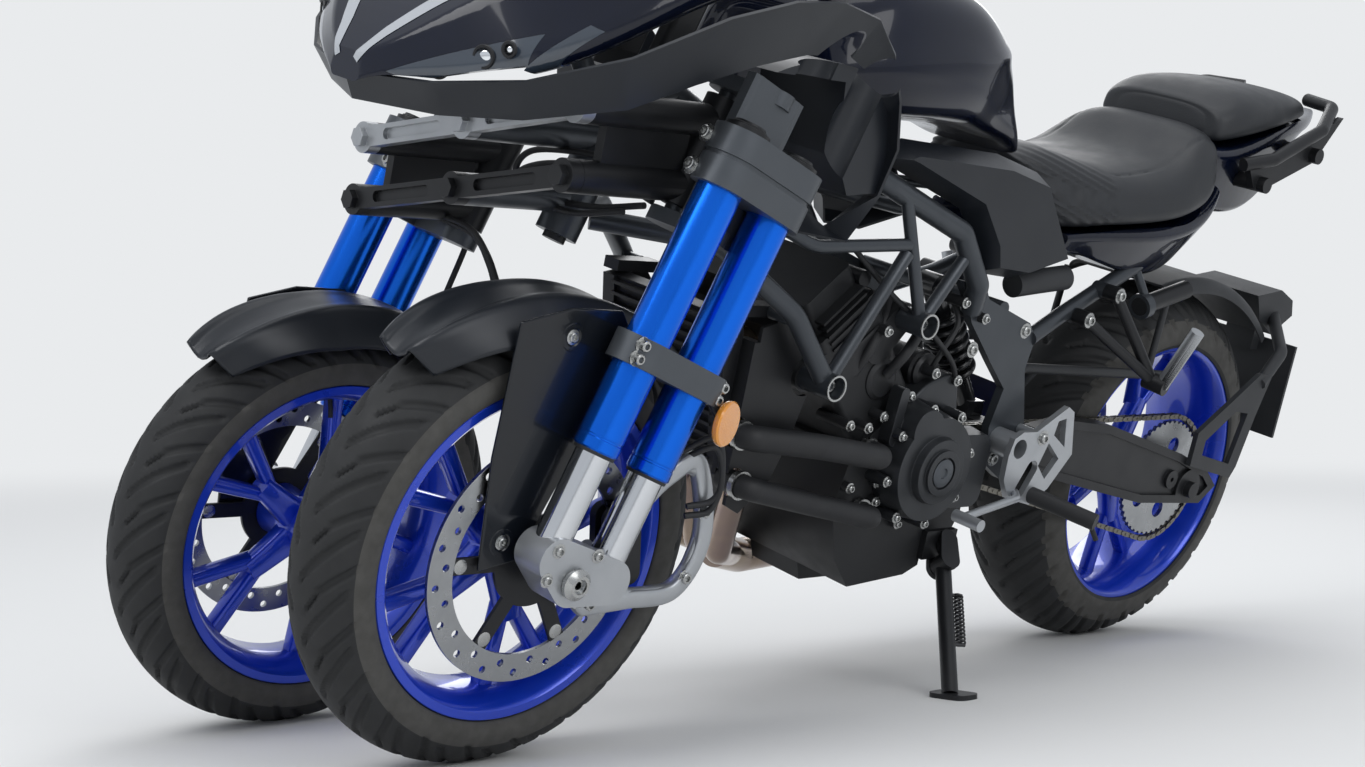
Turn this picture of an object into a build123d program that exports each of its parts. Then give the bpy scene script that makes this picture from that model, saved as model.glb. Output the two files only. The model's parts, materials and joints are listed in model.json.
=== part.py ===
import os
from math import cos, radians, sin, tan

from build123d import *

# A leaning three-wheeled motorcycle, parked on its side stand. Millimetres, Z up.
# The front points to -Y and the rider's left is +X. Each sub-assembly is drawn upright in its
# own frame, with the wheel plane or the centre plane at X = 0, and is then leaned into place.
# In the upright frames Y = 0 is midway between the axles and Z = 0 is the floor.

# Stance and chassis geometry
wheelbase = 1510
track = 410
lean_angle = 16.8
caster_angle = 20
trail = 74
origin_x = 225
origin_y = 41

# Front wheels
front_tyre_radius = 274.5
front_crown = 60
front_section_height = 76.5
front_flange_half = 52
front_hub_radius = 36
front_disc_radius = 149
front_disc_x = 66
disc_thickness = 5

# Rear wheel
rear_tyre_radius = 320.4
rear_crown = 92
rear_section_height = 95.4
rear_flange_half = 86
rear_hub_radius = 48
rear_disc_radius = 141
rear_disc_x = -118
rear_spindle_radius = 14

# Rims
flange_height = 7
flange_width = 5.5
rim_depth = 18
spoke_count = 5
spoke_fork_angle = 13
spoke_width = 17
spoke_half_depth = 13

# Final drive
sprocket_radius = 110
sprocket_x = 104
sprocket_teeth = 45
sprocket_thickness = 7
drive_radius = 40
chain_half = 8
drive_y = 190
drive_z = 385

# Front forks, drawn as the left one
fork_tube_x = 115
fork_tube_radius = 27
fork_leg_radius = 21.5
front_tube_offset = -59
rear_tube_offset = 34
tube_low = -372
tube_top = 30
leg_low = -501
leg_top = -200
stub_axle_radius = 12.5
axle_end_x = 151
axle_bore_radius = 8
axle_bore_depth = 100
axle_boss_radius = 30
leg_foot_radius = 27
axle_bracket_in = 93
axle_bracket_out = 140

# Fork brackets and steering knuckles
kingpin_radius = 12
knuckle_radius = 25
knuckle_half = 70
clamp_wall = 10
lug_thickness = 18
lug_clearance = 9
web_in = 74
web_out = 90
upper_clamp_low = -46
upper_clamp_high = 24
mid_clamp_s = -251
mid_clamp_height = 34

# Front mudguards
guard_tyre_gap = 33.5
guard_wall = 3
guard_half = 70
guard_boss_radius = 9

# Lean linkage
upper_pivot_z = 792
lower_pivot_z = 712
pivot_front_y = -745
pivot_sleeve_radius = 20
arm_thickness = 18
arm_web_height = 26

# Frame
head_low = -95
head_high = 120
head_radius = 28
stem_radius = 15
plate_in = 142
plate_out = 156
swing_y = 232
swing_z = 398
swing_pin_radius = 12
mount_stub_radius = 18
stub_wall = 2
subframe_radius = 11
stay_radius = 12.5
pillion_boss_x = 145
guard_rail_radius = 12

# Engine, drawn square to the crankcase with its cylinders leaned forwards
crankcase_half = 155
gearbox_half = 138
cylinder_half = 150
cylinder_lean = 41
crank_cover_radius = 84
head_low_h = 175
head_high_h = 240
cam_cover_high_h = 296
cylinder_depth = 130
head_depth = 124
cam_cover_depth = 98
header_radius = 19
header_spacing = 90
hose_radius = 17.5

# Radiator
radiator_width = 250
radiator_height = 210
radiator_y = -345
radiator_z = 490
radiator_tilt = 12

# Bodywork
fairing_wall = 5
cowl_wall = 4
panel_wall = 4

# Swingarm and stand bosses
beam_in = 132
beam_out = 166
brace_front = 300
boss_y = 700
boss_z = 340
boss_hole_radius = 4
boss_hole_depth = 25

# Side stand
stand_foot_x = 312
stand_foot_y = 23
stand_foot_height = 7
stand_leg_radius = 12
stand_hub_half = 13
stand_ear = 8

# Clearances
bearing_gap = 0.3
seat_gap = 0.3
running_gap = 5.5

front_bead_radius = front_tyre_radius - front_section_height
rear_bead_radius = rear_tyre_radius - rear_section_height
axle_y = wheelbase / 2
caster_slope = tan(radians(caster_angle))
kingpin_ground_y = -axle_y - trail
front_axle_z = front_tyre_radius
rear_drop = (rear_crown - front_crown) / cos(radians(lean_angle))
rear_axle_z = rear_tyre_radius - rear_crown + front_crown + rear_drop
tube_places = [(fork_tube_x, front_tube_offset), (fork_tube_x, rear_tube_offset)]


def leaned(offset):
    """Place of an upright frame, leaned about the crown line of the front tyres."""
    foot = Location((offset - origin_x, -origin_y, front_crown))
    return foot * Rotation(0, lean_angle, 0) * Location((0, 0, -front_crown))


body_place = leaned(0)
left_place = leaned(track / 2)
right_place = leaned(-track / 2)
front_centre = Location((0, -axle_y, front_axle_z))
rear_centre = Location((0, axle_y, rear_axle_z))

# Kingpin axis: s runs up along it from the middle of the knuckle
knuckle_z = (upper_pivot_z + lower_pivot_z) / 2
knuckle_y = kingpin_ground_y + caster_slope * knuckle_z
kingpin_up = Vector(0, sin(radians(caster_angle)), cos(radians(caster_angle)))


def rake_plane(s):
    """Plane square to the kingpin at s along it, local X across and local Y rearwards."""
    return Plane(Vector(0, knuckle_y, knuckle_z) + kingpin_up * s, x_dir=(1, 0, 0), z_dir=kingpin_up)


def side_plane(x):
    """Upright plane seen from the left at this X: local X is the vehicle's Y, local Y its Z."""
    return Plane.YZ.offset(x)


def save(piece, name, place):
    """Stand a finished piece in the parked vehicle, name it and write it."""
    placed = piece.moved(place)
    placed.label = name
    export_step(placed, f"parts/{name}.step")


def save_pair(piece, name):
    """Write a left fork piece and its mirror image on the right fork."""
    save(piece, f"left_{name}", left_place)
    save(mirror(piece, about=Plane.YZ), f"right_{name}", right_place)


def tube(points, radius, bend, mode=Mode.ADD):
    """Add a bent round tube to the part that is open, or cut one from it."""
    with BuildLine() as path:
        if len(points) > 2:
            FilletPolyline(*points, radius=bend)
        else:
            Line(*points)
    with BuildSketch(Plane(path.line @ 0, z_dir=path.line % 0)) as section:
        Circle(radius)
    sweep(sections=section.sketch, path=path.line, mode=mode)


def rod(start, end, radius, mode=Mode.ADD):
    """Add a straight round bar to the part that is open, or cut one from it."""
    tube([start, end], radius, 0, mode)


def cross_rod(x_start, x_end, y, z, radius, mode=Mode.ADD):
    """Add or cut a round bar that lies across the vehicle."""
    rod((x_start, y, z), (x_end, y, z), radius, mode)


def skin(rows, mode=Mode.ADD):
    """Loft the open part through upright sections: y, half width low and high, z low and high, corner."""
    sections = []
    for y, low, high, bottom, top, corner in rows:
        with BuildSketch(Plane.XZ.offset(-y)) as section:
            Polygon((-low, bottom), (low, bottom), (high, top), (-high, top), align=None)
            fillet(section.vertices(), corner)
        sections.append(section.sketch)
    loft(sections=sections, mode=mode)


def grown(rows, gap):
    """The same sections for skin with every side moved out by a gap, or in where it is negative."""
    sizes = [(low + gap, high + gap, bottom - gap, top + gap, corner) for y, low, high, bottom, top, corner in rows]
    stations = [rows[0][0] - gap] + [row[0] for row in rows[1:-1]] + [rows[-1][0] + gap]
    return [(y, *size) for y, size in zip(stations, sizes)]


os.makedirs("parts", exist_ok=True)


# Tyres
def tyre(radius, crown, section_height, flange_half):
    """A tyre about the X axis with a round crown and open beads."""
    bead_radius = radius - section_height
    lip = flange_half - flange_width - seat_gap
    with BuildPart() as piece:
        with BuildSketch(Plane.XZ):
            with Locations((0, radius - crown)):
                Circle(crown)
            with Locations((0, bead_radius - crown)):
                Rectangle(4 * crown, 2 * crown, mode=Mode.SUBTRACT)
            for side in (-1, 1):
                with Locations((side * (lip + crown), bead_radius)):
                    Rectangle(2 * crown, 2 * (flange_height + seat_gap), mode=Mode.SUBTRACT)
        revolve(axis=Axis.X)
    return piece.part


front_tyre = tyre(front_tyre_radius, front_crown, front_section_height, front_flange_half)
rear_tyre = tyre(rear_tyre_radius, rear_crown, rear_section_height, rear_flange_half)


# Rims with forked spokes
def rim(bead_radius, flange_half, hub_radius, hub_left, hub_right, bore):
    """A rim about the X axis: barrel with two flanges, hub and spokes that fork towards the barrel."""
    inner = bead_radius - rim_depth
    seat = flange_half - flange_width
    flange_radius = bead_radius + flange_height
    with BuildPart() as piece:
        with BuildSketch(Plane.XZ):
            Polygon(
                (-flange_half, flange_radius),
                (-seat, flange_radius),
                (-seat, bead_radius),
                (seat, bead_radius),
                (seat, flange_radius),
                (flange_half, flange_radius),
                (flange_half, bead_radius - flange_width),
                (0.55 * flange_half, inner),
                (-0.55 * flange_half, inner),
                (-flange_half, bead_radius - flange_width),
                align=None,
            )
        revolve(axis=Axis.X)
        with BuildSketch(side_plane(-hub_right)):
            Circle(hub_radius)
        extrude(amount=hub_right + hub_left)
        fork_root = hub_radius + 0.42 * (inner - hub_radius)
        with BuildSketch(Plane.YZ):
            with PolarLocations(0, spoke_count):
                with BuildLine() as trunk:
                    Line((0.7 * hub_radius, 0), (fork_root, 0))
                trace(trunk.line, line_width=2.2 * spoke_width)
                for side in (-1, 1):
                    with BuildLine() as branch:
                        tip = (inner + 2) * Vector(cos(radians(spoke_fork_angle)), side * sin(radians(spoke_fork_angle)))
                        Line((fork_root - spoke_width, side * 0.4 * spoke_width), tip)
                    trace(branch.line, line_width=spoke_width)
        extrude(amount=spoke_half_depth, both=True)
        with BuildSketch(side_plane(-hub_right)):
            Circle(bore)
        extrude(amount=hub_right + hub_left, mode=Mode.SUBTRACT)
    return piece.part


front_rim = rim(
    front_bead_radius,
    front_flange_half,
    front_hub_radius,
    front_disc_x - disc_thickness / 2,
    40,
    stub_axle_radius + bearing_gap,
)
rear_rim = rim(
    rear_bead_radius,
    rear_flange_half,
    rear_hub_radius,
    sprocket_x - sprocket_thickness / 2,
    -rear_disc_x - disc_thickness / 2,
    rear_spindle_radius + bearing_gap,
)


# Brake discs
def brake_disc(outer, inner, carrier, bore):
    """A brake ring about the X axis on a carrier with arms, drilled in two rows."""
    with BuildPart() as piece:
        with BuildSketch(Plane.YZ):
            Circle(outer)
            Circle(inner, mode=Mode.SUBTRACT)
            with PolarLocations((inner + carrier) / 2, 6):
                Rectangle(inner - carrier + 16, 20)
            Circle(carrier + 4)
            Circle(bore, mode=Mode.SUBTRACT)
            for row, start in ((-6, 0), (6, 10)):
                with PolarLocations((outer + inner) / 2 + row, 18, start_angle=start):
                    Circle(4.5, mode=Mode.SUBTRACT)
        extrude(amount=disc_thickness / 2, both=True)
    return piece.part


front_disc = brake_disc(front_disc_radius, 115, 52, stub_axle_radius + 8)
rear_disc = brake_disc(rear_disc_radius, 112, 60, rear_spindle_radius + 14)

# Rear sprocket
with BuildPart() as rear_sprocket:
    with BuildSketch(Plane.YZ):
        Circle(sprocket_radius - chain_half - seat_gap)
        with PolarLocations(sprocket_radius - chain_half, sprocket_teeth):
            Circle(4, mode=Mode.SUBTRACT)
        Circle(rear_spindle_radius + 14, mode=Mode.SUBTRACT)
        with PolarLocations(60, 5):
            Circle(15, mode=Mode.SUBTRACT)
    extrude(amount=sprocket_thickness / 2, both=True)

save_pair(front_tyre.moved(front_centre), "front_tyre")
save_pair(front_rim.moved(front_centre), "front_rim")
save_pair(front_disc.moved(Location((front_disc_x, -axle_y, front_axle_z))), "front_disc")
save(rear_tyre.moved(rear_centre), "rear_tyre", body_place)
save(rear_rim.moved(rear_centre), "rear_rim", body_place)
save(rear_disc.moved(Location((rear_disc_x, axle_y, rear_axle_z))), "rear_disc", body_place)
save(rear_sprocket.part.moved(Location((sprocket_x, axle_y, rear_axle_z))), "rear_sprocket", body_place)

# Drive chain
with BuildPart() as drive_chain:
    for amount, mode in ((chain_half, Mode.ADD), (-chain_half, Mode.SUBTRACT)):
        with BuildSketch(side_plane(sprocket_x - chain_half)):
            with Locations((axle_y, rear_axle_z)):
                Circle(sprocket_radius + amount)
            with Locations((drive_y, drive_z)):
                Circle(drive_radius + amount)
            make_hull()
        extrude(amount=2 * chain_half, mode=mode)
save(drive_chain.part, "drive_chain", body_place)

# Fork outer tubes with their top caps
cap_radius = fork_tube_radius - 6
cap_height = 7
with BuildPart() as fork_tubes:
    with BuildSketch(rake_plane(tube_low)):
        with Locations(*tube_places):
            Circle(fork_tube_radius)
    extrude(amount=tube_top - tube_low)
    with BuildSketch(rake_plane(tube_top)):
        with Locations(*tube_places):
            RegularPolygon(cap_radius, 6)
    extrude(amount=cap_height)
    with BuildSketch(rake_plane(tube_low)):
        with Locations(*tube_places):
            Circle(fork_leg_radius + seat_gap)
    extrude(amount=leg_top + 10 - tube_low, mode=Mode.SUBTRACT)
save_pair(fork_tubes.part, "fork_tubes")

# Fork legs with the axle bracket, the stub axle and the loop that holds the caliper
legs_plane = rake_plane(leg_low)


def leg_foot(offset):
    """Side view place (y, z) of a leg's lower end."""
    foot = legs_plane.from_local_coords((fork_tube_x, offset, 0))
    return (foot.Y, foot.Z)


loop_x = 94
loop_radius = 9
loop_from_axle = [(50, 25), (127, -43), (215, -43), (237, 36), (203, 129), (107, 75)]
with BuildPart() as lower_fork:
    with BuildSketch(legs_plane):
        with Locations(*tube_places):
            Circle(fork_leg_radius)
    extrude(amount=leg_top - leg_low)
    with BuildSketch(side_plane(axle_bracket_in)):
        with Locations((-axle_y, front_axle_z)):
            Circle(axle_boss_radius)
        with Locations(leg_foot(front_tube_offset), leg_foot(rear_tube_offset)):
            Circle(leg_foot_radius)
        make_hull()
    extrude(amount=axle_bracket_out - axle_bracket_in)
    tube([(loop_x, y - axle_y, z + front_axle_z) for y, z in loop_from_axle], loop_radius, 28)
    cross_rod(-38, axle_end_x, -axle_y, front_axle_z, stub_axle_radius)
    cross_rod(axle_end_x - axle_bore_depth, axle_end_x + 1, -axle_y, front_axle_z, axle_bore_radius, Mode.SUBTRACT)
save_pair(lower_fork.part, "lower_fork")

# Front caliper, astride the disc
caliper_behind = 122
caliper_above = 14
with BuildPart() as front_caliper:
    with BuildSketch(side_plane(front_disc_x - 16)):
        with Locations((-axle_y + caliper_behind, front_axle_z + caliper_above)):
            Rectangle(52, 104, rotation=12)
    extrude(amount=loop_x - loop_radius - seat_gap - front_disc_x + 16)
    fillet(front_caliper.edges().filter_by(Axis.X), 14)
    with BuildSketch(side_plane(front_disc_x - 5)):
        with Locations((-axle_y, front_axle_z)):
            Circle(front_disc_radius + running_gap)
    extrude(amount=10, mode=Mode.SUBTRACT)
save_pair(front_caliper.part, "front_caliper")

# Fork bracket round both tubes, with the lugs that turn on the knuckle, and the clamp half-way down
lug_gap = knuckle_half + lug_clearance
bracket_low = -lug_gap - lug_thickness
groove_width = 5
groove_depth = 3
guard_face_x = guard_half + 7


def clamp_outline(wall):
    """Outline round both fork tubes at this distance from them."""
    with BuildSketch() as outline:
        with Locations(*tube_places):
            Circle(fork_tube_radius + wall)
        make_hull()
    return outline.sketch


with BuildPart() as fork_clamps:
    with BuildSketch(rake_plane(upper_clamp_low)):
        add(clamp_outline(clamp_wall))
    extrude(amount=upper_clamp_high - upper_clamp_low)
    with BuildSketch(rake_plane((upper_clamp_low + upper_clamp_high - groove_width) / 2)):
        add(clamp_outline(2 * clamp_wall))
        add(clamp_outline(clamp_wall - groove_depth), mode=Mode.SUBTRACT)
    extrude(amount=groove_width, mode=Mode.SUBTRACT)
    with BuildSketch(rake_plane(bracket_low)):
        with Locations(((web_in + web_out) / 2, (front_tube_offset + rear_tube_offset) / 2)):
            Rectangle(web_out - web_in, rear_tube_offset - front_tube_offset)
    extrude(amount=-2 * bracket_low)
    for level in (bracket_low, lug_gap):
        with BuildSketch(rake_plane(level)):
            Circle(knuckle_radius + 2)
            with Locations((web_in + 4, 0)):
                Circle(18)
            make_hull()
        extrude(amount=lug_thickness)
    with BuildSketch(rake_plane(bracket_low)):
        Circle(kingpin_radius)
    extrude(amount=-2 * bracket_low)
    with BuildSketch(rake_plane(bracket_low)):
        with Locations(*tube_places):
            Circle(fork_tube_radius + seat_gap)
    extrude(amount=-2 * bracket_low, mode=Mode.SUBTRACT)
    with BuildSketch(rake_plane(mid_clamp_s - mid_clamp_height / 2)):
        add(clamp_outline(clamp_wall))
        with Locations((guard_face_x + seat_gap + 10, front_tube_offset)):
            Rectangle(20, 24)
        with Locations(*tube_places):
            Circle(fork_tube_radius + seat_gap, mode=Mode.SUBTRACT)
    extrude(amount=mid_clamp_height)
save_pair(fork_clamps.part, "fork_clamps")

# Front mudguard with the fork guard on its outer side and the boss that the axle bracket holds
guard_radius = front_tyre_radius + guard_tyre_gap
fork_guard_from_axle = [(-90, 286), (55, 301), (95, 246), (55, 156), (20, 126), (-35, 6), (-87, -4)]
with BuildPart() as mudguard:
    with BuildSketch(Plane.XZ):
        with Locations((0, guard_radius - 45)):
            RectangleRounded(2 * guard_half, 90, 26)
            RectangleRounded(2 * (guard_half - guard_wall), 90 - 2 * guard_wall, 24, mode=Mode.SUBTRACT)
        with Locations((0, guard_radius - 100)):
            Rectangle(3 * guard_half, 110, mode=Mode.SUBTRACT)
    revolve(axis=Axis.X, revolution_arc=92)
front_guard = mudguard.part.rotate(Axis.X, -52).moved(front_centre)
with BuildPart() as fork_guard:
    with BuildSketch(side_plane(guard_half - guard_wall)):
        Polygon(*[(y - axle_y, z + front_axle_z) for y, z in fork_guard_from_axle], align=None)
    extrude(amount=guard_face_x - guard_half + guard_wall)
    with BuildSketch(side_plane(guard_half - guard_wall)):
        with Locations((-axle_y, front_axle_z)):
            Circle(front_disc_radius + running_gap)
    extrude(amount=7, mode=Mode.SUBTRACT)
    foot_y, foot_z = leg_foot(front_tube_offset)
    cross_rod(guard_face_x - 3, axle_bracket_in - seat_gap, foot_y, foot_z, guard_boss_radius)
save_pair(front_guard.fuse(fork_guard.part), "mudguard")

# Knuckles that carry the kingpins, one at each end of the arms
with BuildPart() as knuckle:
    with BuildSketch(rake_plane(-knuckle_half)):
        Circle(knuckle_radius)
    extrude(amount=2 * knuckle_half)
    for z in (upper_pivot_z, lower_pivot_z):
        rod((0, pivot_front_y, z), (0, kingpin_ground_y + caster_slope * z, z), pivot_sleeve_radius)
    with Locations((0, (pivot_front_y + knuckle_y) / 2, knuckle_z)):
        Box(14, knuckle_y - pivot_front_y - 60, upper_pivot_z - lower_pivot_z)
    with BuildSketch(rake_plane(-knuckle_half)):
        Circle(kingpin_radius + bearing_gap)
    extrude(amount=2 * knuckle_half, mode=Mode.SUBTRACT)
knuckles = Compound([knuckle.part.moved(left_place), knuckle.part.moved(right_place)])
save(knuckles, "lean_knuckles", Location())

# Lean arms, level in the parked stance because both ends stand on the floor
nut_radius = 13
nut_height = 9
arm_pocket = 6
with BuildPart() as arm:
    with BuildSketch(Plane.XZ.offset(-pivot_front_y + seat_gap)):
        with GridLocations(track / 2, 0, 3, 1):
            Circle(pivot_sleeve_radius)
        Rectangle(track, arm_web_height)
    extrude(amount=arm_thickness)
    with BuildSketch(Plane.XZ.offset(-pivot_front_y + seat_gap + arm_thickness)):
        with GridLocations(track / 2, 0, 2, 1):
            SlotCenterToCenter(0.25 * track, arm_web_height - 2 * arm_pocket)
    extrude(amount=-arm_pocket, mode=Mode.SUBTRACT)
    with BuildSketch(Plane.XZ.offset(-pivot_front_y + seat_gap + arm_thickness)):
        with GridLocations(track / 2, 0, 3, 1):
            RegularPolygon(nut_radius, 6)
    extrude(amount=nut_height)
lean = radians(lean_angle)


def arm_place(height):
    """Place of an arm whose pivots are at this height in the upright frames."""
    rise = height - front_crown
    return Location((rise * sin(lean) - origin_x, -origin_y, front_crown + rise * cos(lean)))


arms = Compound([arm.part.moved(arm_place(upper_pivot_z)), arm.part.moved(arm_place(lower_pivot_z))])
save(arms, "lean_arms", Location())

# Main frame: tubes on both sides, cast swingarm plates, head pipe and the pivot sleeves of the arms
subframe_path = [(150, -4, 735), (126, 200, 712), (112, 400, 712), (108, 560, 720), (104, 660, 790), (80, 860, 885)]
stay_path = [(150, 236, 578), (132, 330, 612), (116, 514, 690), (108, 560, 720)]
knee_path = [(16, knuckle_y + 34, 834), (120, -330, 850), (160, -165, 790), (172, -4, 734), (170, 60, 660), (152, 80, 620)]
knee_tube_radius = 16
knee_bend = 22
preload_stay = ((116, 514, 690), (132, 538, 645))
side_tubes = [
    # points on the left side, tube radius, bend radius
    ([(22, knuckle_y, 690), (120, -420, 690), (176, -310, 610), (186, -234, 519)], 14, 60),
    ([(22, knuckle_y + 50, 800), (120, -400, 745), (165, -290, 700), (172, -112, 712)], 9, 60),
    ([(168, -132, 775), (180, -61, 604)], 9, 0),
    ([(186, -234, 519), (173, -112, 700)], 10, 0),
    (knee_path, knee_tube_radius, knee_bend),
    ([(180, -61, 604), (171, 20, 705)], 9.5, 0),
    (subframe_path, subframe_radius, 60),
    (stay_path, stay_radius, 40),
]
plate_outline = [
    (38, 662), (98, 656), (112, 636), (222, 602), (244, 578), (236, 530), (268, 440), (272, 380), (235, 358),
    (196, 380), (182, 440), (196, 500), (150, 540), (84, 600), (60, 640),
]
mount_stubs = [(-234, 519, 206), (-61, 604, 198)]
pillion_bolts = [(349, 612), (414, 652)]
preload_front = (132, 530, 627)
preload_rear = (132, 650, 659)
preload_radius = 15
tank_bottom = 866
tank_saddle_y = -165
radiator_bolt = (-310, 603)
radiator_lug_x = 133
panel_boss = (30, 790)
panel_inner_x = 150
fairing_boss = (knuckle_y - 135, 1010)
fairing_boss_x = 170
shock_top = (170, 618)
shock_eye_radius = 20
shock_pin_radius = 12
with BuildPart() as main_frame:
    for points, radius, bend in side_tubes:
        tube(points, radius, bend)
    with BuildSketch(side_plane(plate_in)):
        Polygon(*plate_outline, align=None)
    extrude(amount=plate_out - plate_in)
    for y, z, end in mount_stubs:
        cross_rod(cylinder_half + seat_gap, end, y, z, mount_stub_radius)
        cross_rod(end - 22, end + 1, y, z, mount_stub_radius - stub_wall, Mode.SUBTRACT)
        cross_rod(end - 30, end - 12, y, z, 8)
    for y, z in pillion_bolts:
        cross_rod(122, pillion_boss_x, y, z, 13)
    cross_rod(radiator_lug_x + seat_gap, 180, *radiator_bolt, 9)
    rod((124, tank_saddle_y, 792), (129, panel_boss[0], panel_boss[1] + 1), 7.5)
    cross_rod(122, panel_inner_x - seat_gap, *panel_boss, 9)
    ring_end = Vector(preload_front) + (Vector(preload_rear) - Vector(preload_front)).normalized() * 16
    rod(*preload_stay, 7)
    rod(preload_front, ring_end, preload_radius + 6)
    rod(preload_front, preload_rear, preload_radius + seat_gap, Mode.SUBTRACT)
    mirror(about=Plane.YZ)
    with BuildSketch(rake_plane(head_low)):
        Circle(head_radius)
    extrude(amount=head_high - head_low)
    for z in (upper_pivot_z, lower_pivot_z):
        rod((0, pivot_front_y, z), (0, kingpin_ground_y + caster_slope * z, z), pivot_sleeve_radius)
    cross_rod(-plate_in, plate_in, swing_y, swing_z, swing_pin_radius)
    cross_rod(-plate_in, plate_in, *shock_top, shock_pin_radius)
    cross_rod(-108, 108, 560, 720, 10)
    cross_rod(-160, 160, tank_saddle_y, 790, 14)
    with Locations((0, tank_saddle_y, (790 + tank_bottom - seat_gap) / 2)):
        Box(120, 40, tank_bottom - seat_gap - 790)
    rod((0, knuckle_y + 7, 815), (0, *fairing_boss), 14)
    cross_rod(-fairing_boss_x, fairing_boss_x, *fairing_boss, 12)
    with BuildSketch(rake_plane(head_low)):
        Circle(stem_radius + bearing_gap)
    extrude(amount=head_high - head_low + 60, mode=Mode.SUBTRACT)
save(main_frame.part, "main_frame", body_place)


# Engine: crankcase and gearbox, leaned cylinder block, head and cam cover, oil pan, mounting ears
def deck_plane(height):
    """Plane square to the cylinders at this height above the crankcase, local Y towards the rear."""
    lean_back = radians(cylinder_lean)
    up = Vector(0, -sin(lean_back), cos(lean_back))
    return Plane(Vector(0, -20, 420) + up * height, x_dir=(1, 0, 0), z_dir=up)


rib_count = 7
rib_pitch = 12
with BuildPart() as engine:
    with BuildSketch(Plane.YZ):
        Polygon(
            (-100, 250), (-128, 330), (-110, 410), (-60, 450), (30, 470), (90, 462), (90, 228), (60, 215), (-60, 205),
            align=None,
        )
    extrude(amount=crankcase_half, both=True)
    with BuildSketch(Plane.YZ):
        Polygon((80, 462), (130, 450), (184, 400), (184, 300), (160, 245), (80, 225), align=None)
    extrude(amount=gearbox_half, both=True)
    for low, high, half, depth in (
        (0, head_low_h, cylinder_half - 8, cylinder_depth),
        (head_low_h, head_high_h, cylinder_half, head_depth),
        (head_high_h, cam_cover_high_h, cylinder_half - 14, cam_cover_depth),
    ):
        with BuildSketch(deck_plane(low)):
            RectangleRounded(2 * half, depth, 12)
        extrude(amount=high - low)
    for index in range(rib_count):
        with BuildSketch(deck_plane(head_low_h + 14 + index * rib_pitch)):
            Rectangle(2 * cylinder_half + 6, cam_cover_depth - 14)
        extrude(amount=4)
    with BuildSketch(Plane.YZ):
        Polygon((-60, 215), (70, 225), (50, 176), (-44, 176), align=None)
    extrude(amount=50, both=True)
    for (y, z, _), root in zip(mount_stubs, ((-150, 540), (-100, 560))):
        with BuildSketch(side_plane(cylinder_half - 40)):
            with Locations((y, z)):
                Circle(mount_stub_radius + 4)
            with Locations(root):
                Circle(24)
            make_hull()
        extrude(amount=40)
        mirror(about=Plane.YZ)
    with BuildSketch(side_plane(sprocket_x - 16)):
        with Locations((drive_y, drive_z), (drive_y + 200, drive_z)):
            Circle(drive_radius + 18)
        make_hull()
    extrude(amount=crankcase_half, mode=Mode.SUBTRACT)
save(engine.part, "engine", body_place)

# Engine covers: generator, starter gear, breather and sprocket cover on the left, clutch on the right
with BuildPart() as engine_covers:
    with BuildSketch(side_plane(crankcase_half)):
        with Locations((20, 394)):
            Circle(crank_cover_radius)
        with Locations((-12, 452)):
            Circle(38)
    extrude(amount=46, taper=8)
    with BuildSketch(side_plane(crankcase_half + 40)):
        with Locations((20, 394)):
            Circle(52)
    extrude(amount=18, taper=12)
    with BuildSketch(side_plane(crankcase_half + 56)):
        with Locations((20, 394)):
            Circle(34)
            Circle(24, mode=Mode.SUBTRACT)
    extrude(amount=7)
    with BuildSketch(side_plane(crankcase_half)):
        with Locations((-54, 466)):
            SlotOverall(86, 18, rotation=86)
    extrude(amount=22)
    with BuildSketch(side_plane(gearbox_half)):
        with Locations((136, 378)):
            RectangleRounded(88, 120, 25)
    extrude(amount=34, taper=6)
    with BuildSketch(side_plane(-crankcase_half)):
        with Locations((30, 350)):
            Circle(96)
        with Locations((-60, 340)):
            Circle(60)
        make_hull()
    extrude(amount=-34)
    with BuildSketch(side_plane(-crankcase_half - 34)):
        with Locations((30, 350)):
            Circle(84)
    extrude(amount=-16)
save(engine_covers.part, "engine_covers", body_place)

# Coolant pipes on the left, from the radiator to the engine
side_face_x = radiator_width / 2 + seat_gap
case_face_x = crankcase_half + seat_gap
hoses = [
    # points, radius, bend radius
    ([(side_face_x, -345, 442), (172, -345, 442), (194, -230, 434), (192, -86, 412), (case_face_x, -86, 412)], hose_radius, 18),
    ([(side_face_x, -330, 372), (174, -330, 372), (178, -200, 345), (192, -76, 322), (case_face_x, -76, 322)], hose_radius - 1.5, 16),
]
with BuildPart() as coolant_pipes:
    for points, radius, bend in hoses:
        tube(points, radius, bend)
save(coolant_pipes.part, "coolant_pipes", body_place)

# Exhaust: three headers, collector beside the oil pan and the silencer on the right
port = deck_plane((head_low_h + head_high_h) / 2).from_local_coords((0, -head_depth / 2 - seat_gap, 0))
port_out = deck_plane(0).y_dir * -1
header_bend = 30
with BuildPart() as exhaust:
    for x in (-header_spacing, 0, header_spacing):
        start = Vector(x, port.Y, port.Z)
        knee = start + port_out * 75
        tube([start, knee, (x, -262, 330), (x * 0.5 - 10, -212, 226), (x * 0.2 - 55, -110, 190)], header_radius, header_bend)
    tube([(-52, -125, 190), (-84, -40, 164), (-108, 60, 158), (-146, 165, 172), (-160, 232, 214)], 26, 50)
    with BuildSketch(Plane(origin=(-160, 215, 220), x_dir=(1, 0, 0), z_dir=(-0.08, 1, 0.16))):
        RectangleRounded(84, 110, 38)
    extrude(amount=285, taper=-1)
    tube([(-182, 495, 264), (-192, 556, 270)], 23, 0)
save(exhaust.part, "exhaust", body_place)

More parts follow.
